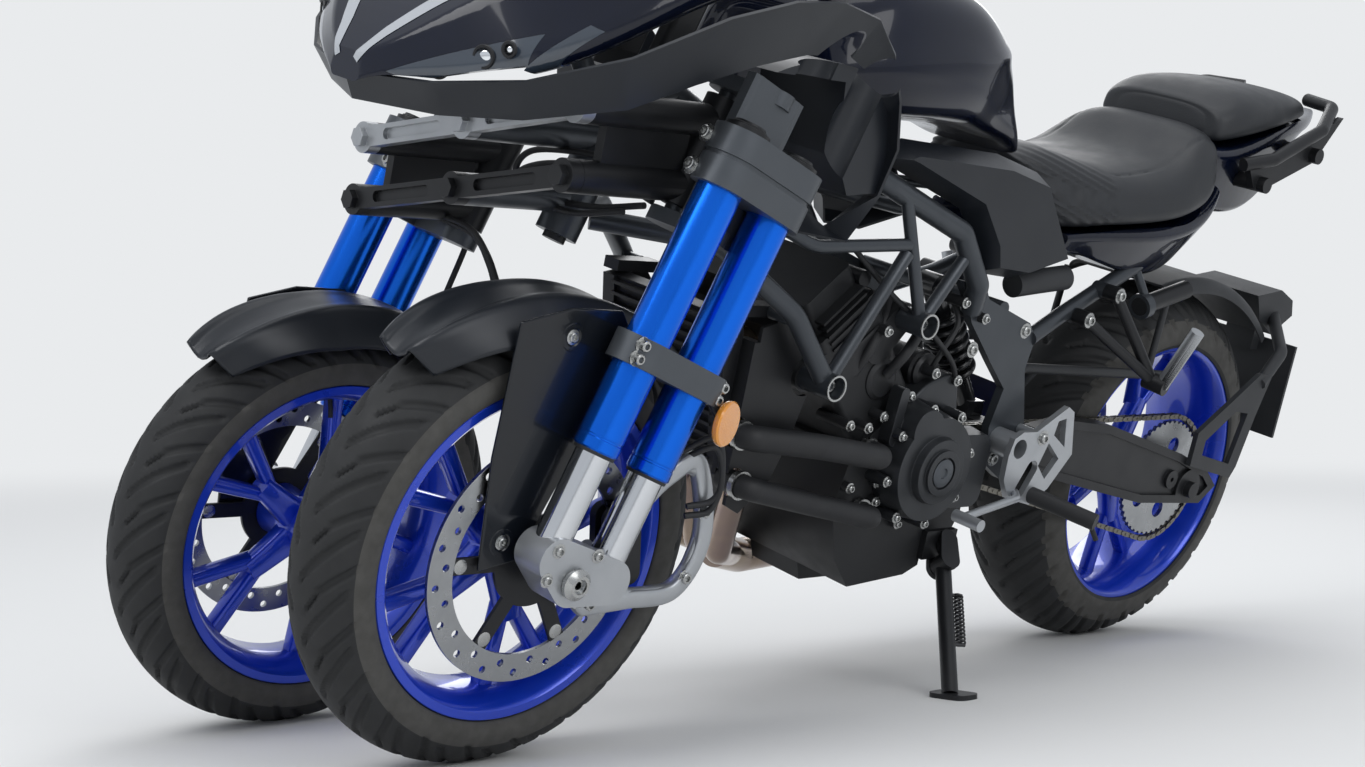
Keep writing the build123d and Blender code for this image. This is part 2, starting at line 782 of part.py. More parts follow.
# Radiator with louvres, mounting lugs and curved shrouds
louvre_count = 13
shroud_outline = [(-335, 585), (-292, 597), (-260, 563), (-224, 496), (-240, 429), (-262, 373), (-310, 327), (-338, 340)]
shroud_x = 143
shroud_wall = 6
with BuildPart() as radiator:
    with Locations(Location((0, radiator_y, radiator_z), (radiator_tilt, 0, 0))):
        Box(radiator_width, 22, radiator_height)
        for side in (-1, 1):
            with Locations((side * (radiator_width - 24) / 2, 0, 0)):
                Box(24, 34, radiator_height)
        for index in range(louvre_count):
            with Locations((0, -14, (index - (louvre_count - 1) / 2) * radiator_height / louvre_count)):
                Box(radiator_width - 40, 10, 5)
    with Locations((radiator_lug_x - 15, radiator_bolt[0] - 28, radiator_bolt[1])):
        Box(30, 80, 16)
    with Locations((radiator_lug_x, radiator_y + 8, 470)):
        Box(2 * (shroud_x + shroud_wall - radiator_lug_x), 16, 190)
    with BuildSketch(side_plane(shroud_x)):
        Polygon(*shroud_outline, align=None)
    extrude(amount=shroud_wall)
    cross_rod(shroud_x - 1, shroud_x + shroud_wall + 1, *mount_stubs[0][:2], mount_stub_radius + 10, Mode.SUBTRACT)
    for points, radius, _ in hoses:
        cross_rod(side_face_x, side_face_x + 40, *points[0][1:], radius + 4, Mode.SUBTRACT)
    with Locations(Location((radiator_width / 2 - 12, radiator_y, radiator_z), (radiator_tilt, 0, 0))):
        Box(24, 34, radiator_height)
    mirror(about=Plane.YZ)
save(radiator.part, "radiator", body_place)

# Nose fairing, an open shell over the forks with bosses inside that the frame holds
nose_rows = [
    # y, half width low, half width high, z low, z high, corner
    (knuckle_y - 383, 30, 22, 828, 862, 8),
    (knuckle_y - 295, 213, 150, 866, 965, 26),
    (knuckle_y - 218, 290, 195, 912, 1020, 30),
    (knuckle_y - 127, 338, 220, 974, 1060, 26),
    (knuckle_y - 5, 346, 228, 1012, 1092, 24),
    (knuckle_y + 115, 334, 215, 1003, 1080, 24),
]


def nose_hollow(depth):
    """Cut the inside of the nose from the open part, open at its rear and from below."""
    rows = [(y, low - depth, high - depth, bottom - depth, top - depth, corner) for y, low, high, bottom, top, corner in nose_rows]
    skin([(nose_rows[0][0] + depth, *rows[0][1:])] + rows[1:-1] + [(nose_rows[-1][0] + 1, *rows[-1][1:])], Mode.SUBTRACT)


with BuildPart() as nose_body:
    skin(nose_rows)
with BuildPart() as nose_grown:
    skin(grown(nose_rows, seat_gap))


lamp_corners = [
    ((62, 848), (205, 925), (200, 888), (96, 846)),
    ((208, 876), (248, 940), (236, 944), (196, 882)),
]
left_lenses = [Polygon(*corners, align=None) for corners in lamp_corners]
lenses = left_lenses + [mirror(lens, about=Plane.YZ) for lens in left_lenses]
lens_openings = [offset(lens, amount=seat_gap) for lens in lenses]

cockpit_half = 205
lamp_reach = 420
with BuildPart() as nose_fairing:
    add(nose_body.part)
    nose_hollow(fairing_wall)
    for side in (-1, 1):
        cross_rod(side * (fairing_boss_x + seat_gap), side * 360, *fairing_boss, 12)
    with BuildSketch(Plane.XY.offset(1000)):
        Polygon(
            (-cockpit_half, knuckle_y + 200), (-cockpit_half, knuckle_y - 45), (-120, knuckle_y - 150),
            (120, knuckle_y - 150), (cockpit_half, knuckle_y - 45), (cockpit_half, knuckle_y + 200),
            align=None,
        )
    extrude(amount=150, mode=Mode.SUBTRACT)
    add(nose_body.part, mode=Mode.INTERSECT)
    with BuildSketch(Plane.XZ.offset(-knuckle_y)):
        add(lens_openings)
    extrude(amount=lamp_reach, mode=Mode.SUBTRACT)
nose_piece = nose_fairing.part.solids().sort_by(SortBy.VOLUME)[-1]
save(nose_piece, "nose_fairing", body_place)

# Headlights and side lamps, lenses flush with the nose
with BuildPart() as headlights:
    add(nose_body.part)
    nose_hollow(12)
    with BuildSketch(Plane.XZ.offset(-knuckle_y)):
        Rectangle(1200, 3000)
        add(lenses, mode=Mode.SUBTRACT)
    extrude(amount=lamp_reach, both=True, mode=Mode.SUBTRACT)
save(headlights.part, "headlights", body_place)

# Side cowls: a matt band below the nose that curls round behind the fork, with the domed inner panel
cowl_stations = [
    # outer edge from the kingpin (x, y, z), inner edge (x, y, z)
    ((0, -383, 836), (0, -367, 806)),
    ((120, -350, 848), (110, -325, 812)),
    ((211, -294, 872), (198, -278, 828)),
    ((288, -217, 918), (262, -187, 860)),
    ((336, -128, 980), (292, -120, 900)),
    ((344, -40, 1010), (304, -42, 932)),
    ((342, 38, 1018), (304, 32, 952)),
    ((332, 112, 1006), (298, 112, 957)),
    ((320, 164, 968), (288, 176, 934)),
    ((307, 205, 912), (280, 216, 893)),
    ((300, 227, 854), (270, 232, 848)),
    ((290, 221, 794), (260, 228, 787)),
    ((278, 197, 733), (246, 184, 744)),
    ((258, 121, 738), (235, 146, 765)),
]


def cowl_section(index):
    """Thin four-sided face of the band at this station, its wall square to the band's surface."""
    points = [Vector(*outer) + Vector(0, knuckle_y, 0) for outer, _ in cowl_stations]
    edge_out = points[index]
    edge_in = Vector(*cowl_stations[index][1]) + Vector(0, knuckle_y, 0)
    run = points[min(index + 1, len(points) - 1)] - points[max(index - 1, 0)]
    wall = run.cross(edge_in - edge_out).normalized() * cowl_wall
    return Face(Wire.make_polygon([edge_out, edge_in, edge_in + wall, edge_out + wall]))


dome_low_edge = [(231, 848), (224, 796), (172, 790), (140, 838), (128, 926), (10, 926)]
dome_top = [(10, 926), (70, 944), (128, 946)]
dome_back = [(128, 946), (200, 914), (231, 848)]
dome_x = 138
dome_width = 146
with BuildPart() as side_cowls:
    loft(sections=[cowl_section(index) for index in range(len(cowl_stations))], ruled=True)
    with BuildSketch(side_plane(dome_x)):
        with BuildLine():
            Polyline(*[(knuckle_y + y, z) for y, z in dome_low_edge])
            ThreePointArc(*[(knuckle_y + y, z) for y, z in dome_top])
            ThreePointArc(*[(knuckle_y + y, z) for y, z in dome_back])
        make_face()
    extrude(amount=dome_width)
    for offset_along in (front_tube_offset, rear_tube_offset):
        start = rake_plane(100).from_local_coords((dome_x + dome_width + 8, offset_along + 66, 0))
        end = rake_plane(260).from_local_coords((dome_x + dome_width + 8, offset_along + 66, 0))
        rod(start, end, 30, Mode.SUBTRACT)
    mirror(about=Plane.YZ)
    add(nose_grown.part, mode=Mode.SUBTRACT)
save(side_cowls.part, "side_cowls", body_place)

# Windscreen, standing on the nose
screen_rows = [
    # y from the kingpin, half width, z in the middle
    (-285, 120, 985),
    (-135, 165, 1120),
    (15, 120, 1232),
]
screen_sag = 24
screen_wall = 4
with BuildPart() as windscreen:
    sections = []
    for y, half, z in screen_rows:
        with BuildSketch(Plane.XZ.offset(-knuckle_y - y)) as section:
            with BuildLine():
                ThreePointArc((-half, z - screen_sag), (0, z), (half, z - screen_sag))
                Line((half, z - screen_sag), (half, z - screen_sag + screen_wall))
                ThreePointArc((half, z - screen_sag + screen_wall), (0, z + screen_wall), (-half, z - screen_sag + screen_wall))
                Line((-half, z - screen_sag + screen_wall), (-half, z - screen_sag))
            make_face()
        sections.append(section.sketch)
    loft(sections=sections)
    add(nose_grown.part, mode=Mode.SUBTRACT)
windscreen_piece = windscreen.part.solids().sort_by(Axis.Z)[-1]
save(windscreen_piece, "windscreen", body_place)

# Fuel tank
with BuildPart() as fuel_tank:
    skin([
        # y, half width low, half width high, z low, z high, corner
        (-300, 150, 110, tank_bottom, 1010, 30),
        (-190, 190, 150, tank_bottom, 1065, 45),
        (-20, 178, 150, tank_bottom, 1060, 45),
        (110, 140, 105, 852, 985, 32),
        (172, 108, 75, 838, 885, 16),
    ])
save(fuel_tank.part, "fuel_tank", body_place)

# Side panels below the tank, hollow towards the frame
panel_outline = [
    (-216, 824), (-150, 852), (60, 846), (160, 826), (180, 800), (262, 700), (150, 668), (66, 674), (52, 712),
    (4, 764), (-150, 810),
]
panel_depth = 38
panel_taper = 24
with BuildPart() as side_panels:
    with BuildSketch(side_plane(panel_inner_x)):
        Polygon(*panel_outline, align=None)
    extrude(amount=panel_depth, taper=panel_taper)
    with BuildSketch(side_plane(panel_inner_x)):
        Polygon(*panel_outline, align=None)
        offset(amount=-panel_wall, kind=Kind.INTERSECTION)
    extrude(amount=panel_depth - panel_wall, taper=panel_taper, mode=Mode.SUBTRACT)
    cross_rod(panel_inner_x, panel_inner_x + panel_depth - 1, *panel_boss, 9)
    tube(knee_path, knee_tube_radius + 1.5, knee_bend, Mode.SUBTRACT)
    tube(subframe_path, subframe_radius + 1.5, 60, Mode.SUBTRACT)
    mirror(about=Plane.YZ)
save(side_panels.part, "side_panels", body_place)

# Seats
rider_seat_rows = [
    # y, half width low, half width high, z low, z high, corner
    (190, 95, 78, 800, 846, 14),
    (270, 150, 105, 737, 858, 24),
    (400, 172, 135, 746, 842, 28),
    (520, 180, 150, 760, 862, 28),
    (600, 172, 138, 776, 918, 26),
    (646, 150, 125, 802, 920, 24),
]
pillion_seat_rows = [
    # y, half width low, half width high, z low, z high, corner
    (646 + running_gap, 125, 115, 892, 962, 18),
    (720, 140, 122, 902, 990, 26),
    (830, 128, 104, 926, 1000, 22),
    (945, 98, 78, 952, 996, 14),
]
with BuildPart() as rider_seat:
    skin(rider_seat_rows)
save(rider_seat.part, "rider_seat", body_place)

with BuildPart() as pillion_seat:
    skin(pillion_seat_rows)
save(pillion_seat.part, "pillion_seat", body_place)

# Tail cowl: the panel under the rider's seat and the body under the pillion's
rail_bolts = [(744, 847), (881, 905)]
rail_boss_radius = 13
rail_boss_x = 106.5
with BuildPart() as tail_cowl:
    skin([
        # y, half width low, half width high, z low, z high, corner
        (292, 126, 142, 706, 736, 8),
        (377, 130, 158, 698, 748, 12),
        (598, 108, 166, 686, 780, 16),
        (690, 96, 140, 776, 830, 14),
    ])
    skin([
        (650, 100, 132, 786, 892, 14),
        (740, 98, 136, 784, 906, 16),
        (822, 92, 126, 796, 930, 16),
        (953, 66, 100, 900, 958, 14),
        (1060, 26, 46, 948, 974, 8),
    ])
    skin(grown(rider_seat_rows, seat_gap), Mode.SUBTRACT)
    skin(grown(pillion_seat_rows, seat_gap), Mode.SUBTRACT)
    for side in (-1, 1):
        for path, radius, bend in ((subframe_path, subframe_radius, 60), (stay_path, stay_radius, 40)):
            tube([(side * x, y, z) for x, y, z in path], radius + seat_gap, bend, Mode.SUBTRACT)
        for y, z in rail_bolts:
            cross_rod(side * (rail_boss_x - seat_gap), side * 200, y, z, rail_boss_radius + seat_gap, Mode.SUBTRACT)
        rod(*[(side * x, y, z) for x, y, z in preload_stay], 7 + seat_gap, Mode.SUBTRACT)
    cross_rod(-108, 108, 560, 720, 10 + seat_gap, Mode.SUBTRACT)
tail_piece = tail_cowl.part.solids().sort_by(SortBy.VOLUME)[-1]
save(tail_piece, "tail_cowl", body_place)

# Grab rails with the bosses that bolt them through the tail
with BuildPart() as grab_rails:
    tube([(152, 692, 874), (168, 752, 890), (166, 880, 948), (130, 958, 986), (64, 984, 990)], 11, 22)
    with BuildSketch(side_plane(148)):
        Polygon((700, 872), (728, 838), (752, 836), (892, 894), (950, 974), (880, 944), (752, 888), align=None)
    extrude(amount=12)
    for y, z in rail_bolts:
        cross_rod(rail_boss_x, 174, y, z, rail_boss_radius)
    mirror(about=Plane.YZ)
save(grab_rails.part, "grab_rails", body_place)

# Footrests: rider's brackets with pegs and foot levers, pillion's V brackets with folded pegs
rest_x = 192
rest_wall = 10
rest_ring = (208, 420)
rest_boss = (258, 436)
with BuildPart() as footrests:
    with BuildSketch(side_plane(rest_x)):
        Polygon(
            (190, 436), (208, 446), (240, 446), (306, 484), (322, 476), (342, 408), (300, 354), (262, 330), (206, 342),
            (186, 372), (184, 410),
            align=None,
        )
        with Locations(rest_ring):
            Circle(15, mode=Mode.SUBTRACT)
        Polygon((288, 462), (306, 466), (318, 420), (284, 440), align=None, mode=Mode.SUBTRACT)
        Polygon((276, 428), (310, 402), (286, 370), (262, 392), align=None, mode=Mode.SUBTRACT)
        with Locations((240, 372)):
            SlotOverall(62, 26, rotation=62, mode=Mode.SUBTRACT)
    extrude(amount=rest_wall)
    cross_rod(plate_out + seat_gap, rest_x, *rest_ring, 21)
    cross_rod(plate_out, rest_x + 1, *rest_ring, 15, Mode.SUBTRACT)
    cross_rod(plate_out + seat_gap, rest_x + 2, *rest_boss, 9)
    rod((rest_x + 4, 262, 346), (300, 300, 334), 13)
    rod((292, 298, 330), (300, 312, 306), 4)
    tube([(rest_x + 6, 226, 350), (222, 200, 350), (236, 140, 348), (264, 22, 344)], 6, 12)
    cross_rod(252, 300, 22, 344, 9)
    for y, z in pillion_bolts:
        cross_rod(pillion_boss_x + seat_gap, 170, y, z, 13)
        rod((162, y, z), (198, 514, 524), 9)
    rod((186, 514, 524), (222, 520, 520), 15)
    rod((214, 520, 520), (258, 512, 620), 11)
    mirror(about=Plane.YZ)
save(footrests.part, "footrests", body_place)

# Swingarm with the rear spindle, the chain adjuster ends and the threaded stand bosses
beam_outline = [
    (brace_front, 436), (382, 449), (488, 439), (710, 385), (axle_y + 45, 354), (axle_y + 83, 324), (axle_y + 45, 294),
    (618, 303), (440, 337), (brace_front, 366),
]
sleeve_half = 88
sleeve_radius = 22
spindle_half = 178
with BuildPart() as swingarm:
    with BuildSketch(side_plane(beam_in)):
        Polygon(*beam_outline, align=None)
    extrude(amount=beam_out - beam_in)
    with BuildSketch(side_plane(beam_out - 6)):
        Polygon(*beam_outline, align=None)
        offset(amount=-14, kind=Kind.INTERSECTION)
        with Locations((boss_y, boss_z)):
            Circle(16, mode=Mode.SUBTRACT)
        with Locations((axle_y, rear_axle_z)):
            Circle(34, mode=Mode.SUBTRACT)
    extrude(amount=7, mode=Mode.SUBTRACT)
    cross_rod(beam_out - boss_hole_depth, beam_out + 1, boss_y, boss_z, boss_hole_radius, Mode.SUBTRACT)
    with Locations((sleeve_half - 16, (swing_y + brace_front) / 2 + 10, swing_z)):
        Box(32, brace_front - swing_y + 24, 40)
    mirror(about=Plane.YZ)
    with Locations((0, brace_front + 22, swing_z)):
        Box(2 * beam_in, 44, 30)
    cross_rod(-sleeve_half, sleeve_half, swing_y, swing_z, sleeve_radius)
    cross_rod(-sleeve_half, sleeve_half, swing_y, swing_z, swing_pin_radius + bearing_gap, Mode.SUBTRACT)
    cross_rod(-spindle_half, spindle_half, axle_y, rear_axle_z, rear_spindle_radius)
save(swingarm.part, "swingarm", body_place)

# Rear caliper on the right beam, astride the disc
with BuildPart() as rear_caliper:
    with BuildSketch(side_plane(-beam_in + seat_gap)):
        with Locations((axle_y - 92, rear_axle_z + 84)):
            Rectangle(54, 92, rotation=45)
    extrude(amount=30)
    fillet(rear_caliper.edges().filter_by(Axis.X), 12)
    with BuildSketch(side_plane(rear_disc_x - 5)):
        with Locations((axle_y, rear_axle_z)):
            Circle(rear_disc_radius + running_gap)
    extrude(amount=10, mode=Mode.SUBTRACT)
save(rear_caliper.part, "rear_caliper", body_place)

# Rear shock between the frame's cross pin and the swingarm, and its preload adjuster
shock_foot = (brace_front + 20, swing_z + 15 + seat_gap)
coil_count = 7
with BuildPart() as rear_shock:
    cross_rod(-18, 18, *shock_top, shock_eye_radius)
    rod((0, *shock_top), (0, shock_foot[0], shock_foot[1] + 13), 17)
    along = (Vector(0, *shock_foot) - Vector(0, *shock_top)).normalized()
    for index in range(coil_count):
        centre = Vector(0, *shock_top) + along * (54 + 18 * index)
        with Locations(Location(Plane(centre, z_dir=along))):
            Torus(31, 5.5)
            Cylinder(31, 2)
    with Locations((0, shock_foot[0], shock_foot[1] + 12)):
        Box(40, 40, 24)
    cross_rod(-19, 19, *shock_top, shock_pin_radius + bearing_gap, Mode.SUBTRACT)
    rod(preload_front, preload_rear, preload_radius)
save(rear_shock.part, "rear_shock", body_place)

# Plate carrier on the swingarm: triangular arms, shelf with the tail lamp, plate holder
carrier_x = beam_out + seat_gap
carrier_wall = 9
with BuildPart() as plate_carrier:
    with BuildSketch(side_plane(carrier_x)):
        Polygon(
            (axle_y - 27, 366), (axle_y + 106, 340), (axle_y + 118, 360), (axle_y + 138, 450), (axle_y + 160, 524),
            (axle_y + 122, 526), (axle_y + 48, 474), (axle_y - 26, 424),
            align=None,
        )
        Polygon(
            (axle_y + 2, 384), (axle_y + 92, 366), (axle_y + 112, 456), (axle_y + 74, 460), (axle_y + 2, 410),
            align=None,
            mode=Mode.SUBTRACT,
        )
    extrude(amount=carrier_wall)
    tube([(carrier_x + 4, axle_y + 132, 508), (152, axle_y + 210, 558), (62, axle_y + 306, 606)], 11, 40)
    mirror(about=Plane.YZ)
    with BuildSketch(Plane.YZ):
        Polygon(
            (axle_y + 225, 640), (axle_y + 300, 652), (axle_y + 345, 634), (axle_y + 356, 606), (axle_y + 300, 570),
            (axle_y + 250, 596),
            align=None,
        )
    extrude(amount=72, both=True)
    with Locations((0, axle_y + 342, 470)):
        Box(210, 6, 172)
    with Locations((0, axle_y + 330, 560)):
        Box(60, 28, 60)
save(plate_carrier.part, "plate_carrier", body_place)

# Rear mudguard over the tyre with its side stays, carried by the plate arms and the swingarm
rear_guard_radius = rear_tyre_radius + 25
rear_guard_wall = 4
stay_x = beam_out - 12
with BuildPart() as guard_arc:
    with BuildSketch(Plane.XZ):
        with Locations((0, rear_guard_radius - 22)):
            RectangleRounded(212, 52, 22)
            RectangleRounded(212 - 2 * rear_guard_wall, 52 - 2 * rear_guard_wall, 19, mode=Mode.SUBTRACT)
        with Locations((0, rear_guard_radius - 60)):
            Rectangle(260, 80, mode=Mode.SUBTRACT)
    revolve(axis=Axis.X, revolution_arc=60)
with BuildPart() as rear_mudguard:
    add(guard_arc.part.rotate(Axis.X, -42).moved(rear_centre))
    for side in (-1, 1):
        tube([(side * 100, 290, 470), (side * 100, 300, 516), (side * 112, 700, 506), (side * 104, 760, 560)], 8, 16)
        rod((side * 106, 640, 508), (side * 104, 648, 640), 6)
        tube([(side * 76, 332, swing_z + 15 + seat_gap), (side * 76, 332, 470), (side * 100, 340, 516)], 8, 16)
save(rear_mudguard.part, "rear_mudguard", body_place)

# Handlebar with its stem, clamp, grips, levers and mirrors
bar_radius = 11
grip_radius = 16
riser_height = 190
clamp_s = head_high + running_gap
with BuildPart() as handlebar:
    with BuildSketch(rake_plane(head_low - 8)):
        Circle(stem_radius)
    extrude(amount=clamp_s - head_low + 12)
    with BuildSketch(rake_plane(clamp_s)):
        RectangleRounded(110, 62, 12)
    extrude(amount=24)
    with BuildSketch(rake_plane(clamp_s)):
        with GridLocations(80, 0, 2, 1):
            RectangleRounded(26, 44, 8)
    extrude(amount=riser_height)
    centre = rake_plane(clamp_s + riser_height - 12).origin
    bar_points = [(0, 0, 0), (120, 0, 0), (215, 32, 86), (395, 130, 76)]
    tube([(x, centre.Y + y, centre.Z + z) for x, y, z in bar_points], bar_radius, 30)
    rod((280, centre.Y + 67, centre.Z + 82), (398, centre.Y + 132, centre.Z + 76), grip_radius)
    rod((265, centre.Y + 44, centre.Z + 84), (385, centre.Y + 66, centre.Z + 66), 5)
    rod((262, centre.Y + 30, centre.Z + 84), (262, centre.Y + 66, centre.Z + 84), 9)
    tube([(262, centre.Y + 52, centre.Z + 84), (276, centre.Y + 44, centre.Z + 116), (352, centre.Y + 30, centre.Z + 158)], 6, 20)
    with BuildSketch(Plane(origin=(352, centre.Y + 24, centre.Z + 160), x_dir=(1, 0, 0), z_dir=(0, 1, 0.12))):
        RectangleRounded(150, 86, 34)
    extrude(amount=-26, taper=18)
    mirror(about=Plane.YZ)
save(handlebar.part, "handlebar", body_place)

# Side stand, folding back and up about a slanted pin
floor = Plane(body_place.inverse())
foot = floor.from_local_coords((stand_foot_x - origin_x, stand_foot_y - origin_y, stand_foot_height / 2))
stand_pivot = Vector(184, 112, 238)
leg_down = (foot - stand_pivot).normalized()
leg_folded = Vector(0.16, 0.983, 0.09).normalized()
stand_axis = leg_down.cross(leg_folded).normalized()
hub_radius = 15
pin_radius = 6
with BuildPart() as side_stand:
    rod((stand_pivot - stand_axis * stand_hub_half), (stand_pivot + stand_axis * stand_hub_half), hub_radius)
    rod(stand_pivot, foot, stand_leg_radius)
    with BuildSketch(floor):
        with Locations((stand_foot_x - origin_x + 6, stand_foot_y - origin_y)):
            RectangleRounded(66, 46, 16)
    extrude(amount=stand_foot_height)
    with BuildSketch(floor):
        with Locations((stand_foot_x - origin_x, stand_foot_y - origin_y)):
            Rectangle(200, 200)
    extrude(amount=-60, mode=Mode.SUBTRACT)
    pin_reach = stand_axis * (stand_hub_half + 1)
    rod((stand_pivot - pin_reach), (stand_pivot + pin_reach), pin_radius + bearing_gap, Mode.SUBTRACT)
save(side_stand.part, "side_stand", body_place)

# Bracket of the side stand, a clevis bolted to the crankcase
ear_start = stand_hub_half + seat_gap
web_distance = hub_radius + 14 + running_gap
with BuildPart() as stand_bracket:
    for start in (-ear_start - stand_ear, ear_start):
        with BuildSketch(Plane(stand_pivot + stand_axis * start, x_dir=-leg_down, z_dir=stand_axis)):
            Circle(hub_radius + 1)
            with Locations((web_distance, 0)):
                Circle(14)
            make_hull()
        extrude(amount=stand_ear)
    with BuildSketch(Plane(stand_pivot - stand_axis * ear_start, x_dir=-leg_down, z_dir=stand_axis)):
        with Locations((web_distance, 0)):
            Circle(14)
    extrude(amount=2 * ear_start)
    ear_reach = stand_axis * (ear_start + stand_ear)
    rod((stand_pivot - ear_reach), (stand_pivot + ear_reach), pin_radius)
    with Locations((case_face_x + 5, 118, 262)):
        Box(10, 70, 44)
    with Locations((case_face_x - 100, 112, 240)):
        Box(200, 200, 200, mode=Mode.SUBTRACT)
save(stand_bracket.part, "stand_bracket", body_place)
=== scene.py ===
"""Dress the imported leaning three-wheeler: tyres, metalwork, bodywork, seats and studio."""

import json
import logging
import math
from collections.abc import Callable
from dataclasses import dataclass, field
from enum import Enum

import bmesh
import bpy
import numpy as np
from mathutils import Matrix, Vector

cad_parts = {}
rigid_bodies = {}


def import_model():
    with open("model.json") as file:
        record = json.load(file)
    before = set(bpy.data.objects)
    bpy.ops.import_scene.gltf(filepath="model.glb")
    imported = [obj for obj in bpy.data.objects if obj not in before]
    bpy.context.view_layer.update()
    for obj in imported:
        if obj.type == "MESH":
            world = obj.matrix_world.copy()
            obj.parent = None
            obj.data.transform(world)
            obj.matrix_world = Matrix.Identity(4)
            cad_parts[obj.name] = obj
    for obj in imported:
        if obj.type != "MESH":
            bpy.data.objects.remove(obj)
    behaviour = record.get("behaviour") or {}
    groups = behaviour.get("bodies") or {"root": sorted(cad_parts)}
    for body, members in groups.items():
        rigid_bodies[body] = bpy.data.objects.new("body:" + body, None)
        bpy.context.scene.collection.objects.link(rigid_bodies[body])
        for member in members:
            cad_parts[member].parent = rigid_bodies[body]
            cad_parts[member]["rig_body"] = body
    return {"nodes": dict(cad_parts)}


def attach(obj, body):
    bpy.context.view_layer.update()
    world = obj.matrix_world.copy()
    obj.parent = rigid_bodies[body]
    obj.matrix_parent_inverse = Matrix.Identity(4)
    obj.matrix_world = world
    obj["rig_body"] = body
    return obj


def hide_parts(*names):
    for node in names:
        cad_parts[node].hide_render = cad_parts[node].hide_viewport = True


log = logging.getLogger("three_wheeler")
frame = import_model()
nodes = frame["nodes"]

Shape = tuple[np.ndarray, np.ndarray | list]

# Stance in mm: upright forms lean about the crown line of the front tyres
LEAN = math.radians(16.8)
CASTER = math.radians(20)
CROWN = 60.0
FOOT = np.array([0, 0, CROWN])
ORIGIN = np.array([225.0, 41.0, 0.0])
TURN = np.array([[math.cos(LEAN), 0, math.sin(LEAN)], [0, 1, 0], [-math.sin(LEAN), 0, math.cos(LEAN)]])
KNUCKLE = np.array([0.0, -555.3, 752.0])
FRONT_AXLE = np.array([0.0, -755.0, 274.5])
REAR_AXLE = np.array([0.0, 755.0, 321.8])
X_AXIS = np.array([1.0, 0, 0])


class Upright(Enum):
    """The upright frames that parts are drawn in, by their offset across the floor in mm."""

    BODY = 0.0
    LEFT = 205.0
    RIGHT = -205.0


class Side(Enum):
    """The two sides of the vehicle, by the sign of X."""

    LEFT = 1
    RIGHT = -1


def placed(points: np.ndarray, upright: Upright) -> np.ndarray:
    """Lean upright points about the crown line of the front tyres.

    Args:
        points: An array whose last axis is X, Y, Z in mm.
        upright: The frame they are drawn in.

    Returns:
        The same points in the shared frame, in metres.
    """
    return ((np.asarray(points, float) - FOOT) @ TURN.T + FOOT + [upright.value, 0, 0] - ORIGIN) / 1000


def stood_up(points: np.ndarray, upright: Upright) -> np.ndarray:
    """Undo placed.

    Args:
        points: An array whose last axis is X, Y, Z in metres, in the shared frame.
        upright: The frame to give them in.

    Returns:
        The same points upright, in mm.
    """
    return (np.asarray(points) * 1000 + ORIGIN - [upright.value, 0, 0] - FOOT) @ TURN + FOOT


def raked(across: float, rearwards: float, along: float) -> np.ndarray:
    """Find a point beside the kingpin.

    Args:
        across: Distance along X in mm.
        rearwards: Distance square to the kingpin, in the wheel plane.
        along: Distance up along the kingpin from the knuckle's middle.

    Returns:
        The point, upright, in mm.
    """
    c, s = math.cos(CASTER), math.sin(CASTER)
    return KNUCKLE + [across, rearwards * c + along * s, along * c - rearwards * s]


def resample(rows: np.ndarray, count: int) -> np.ndarray:
    """Run a smooth cubic curve through rows of numbers, evenly in row number.

    Args:
        rows: K rows of D numbers.
        count: How many rows to give back.

    Returns:
        An array of count by D: each output is the Catmull-Rom blend of its four nearest rows.
    """
    rows = np.asarray(rows, float)
    padded = np.vstack([2 * rows[0] - rows[1], rows, 2 * rows[-1] - rows[-2]])
    place = np.linspace(0, len(rows) - 1, count)
    step = np.minimum(place.astype(int), len(rows) - 2)
    t = (place - step)[:, None]
    a, b, c, d = (padded[step + k] for k in range(4))
    return 0.5 * (2 * b + (c - a) * t + (2 * a - 5 * b + 4 * c - d) * t**2 + (3 * b - a - 3 * c + d) * t**3)


def squared(turn: np.ndarray, power: float) -> tuple[np.ndarray, np.ndarray]:
    """Square off a circle: its cosine and sine keep their signs and are raised to a power.

    Args:
        turn: Angles in radians.
        power: 1 for a circle, less for a squarer outline.

    Returns:
        The two coordinates of the outline.
    """
    c, s = np.cos(turn), np.sin(turn)
    return np.sign(c) * np.abs(c) ** power, np.sign(s) * np.abs(s) ** power


def linear(code: str) -> tuple[float, float, float, float]:
    """Turn an sRGB hex colour to the linear colour that shaders take.

    Args:
        code: A hash and six hex digits.

    Returns:
        Linear red, green, blue and an alpha of 1.
    """
    values = [int(code[i : i + 2], 16) / 255 for i in (1, 3, 5)]
    return (*(v / 12.92 if v <= 0.04045 else ((v + 0.055) / 1.055) ** 2.4 for v in values), 1.0)


def add_node(
    tree: bpy.types.NodeTree, kind: str, inputs: dict | None = None, **settings: object
) -> bpy.types.Node:
    """Add a shader node, set its properties, and set or link its inputs.

    Args:
        tree: The node tree to add to.
        kind: The node's type name.
        inputs: Values or output sockets by input name or number.
        **settings: Properties of the node.

    Returns:
        The new node.
    """
    node = tree.nodes.new(kind)
    for key, value in settings.items():
        setattr(node, key, value)
    for key, value in (inputs or {}).items():
        if isinstance(value, bpy.types.NodeSocket):
            tree.links.new(value, node.inputs[key])
        else:
            node.inputs[key].default_value = value
    return node


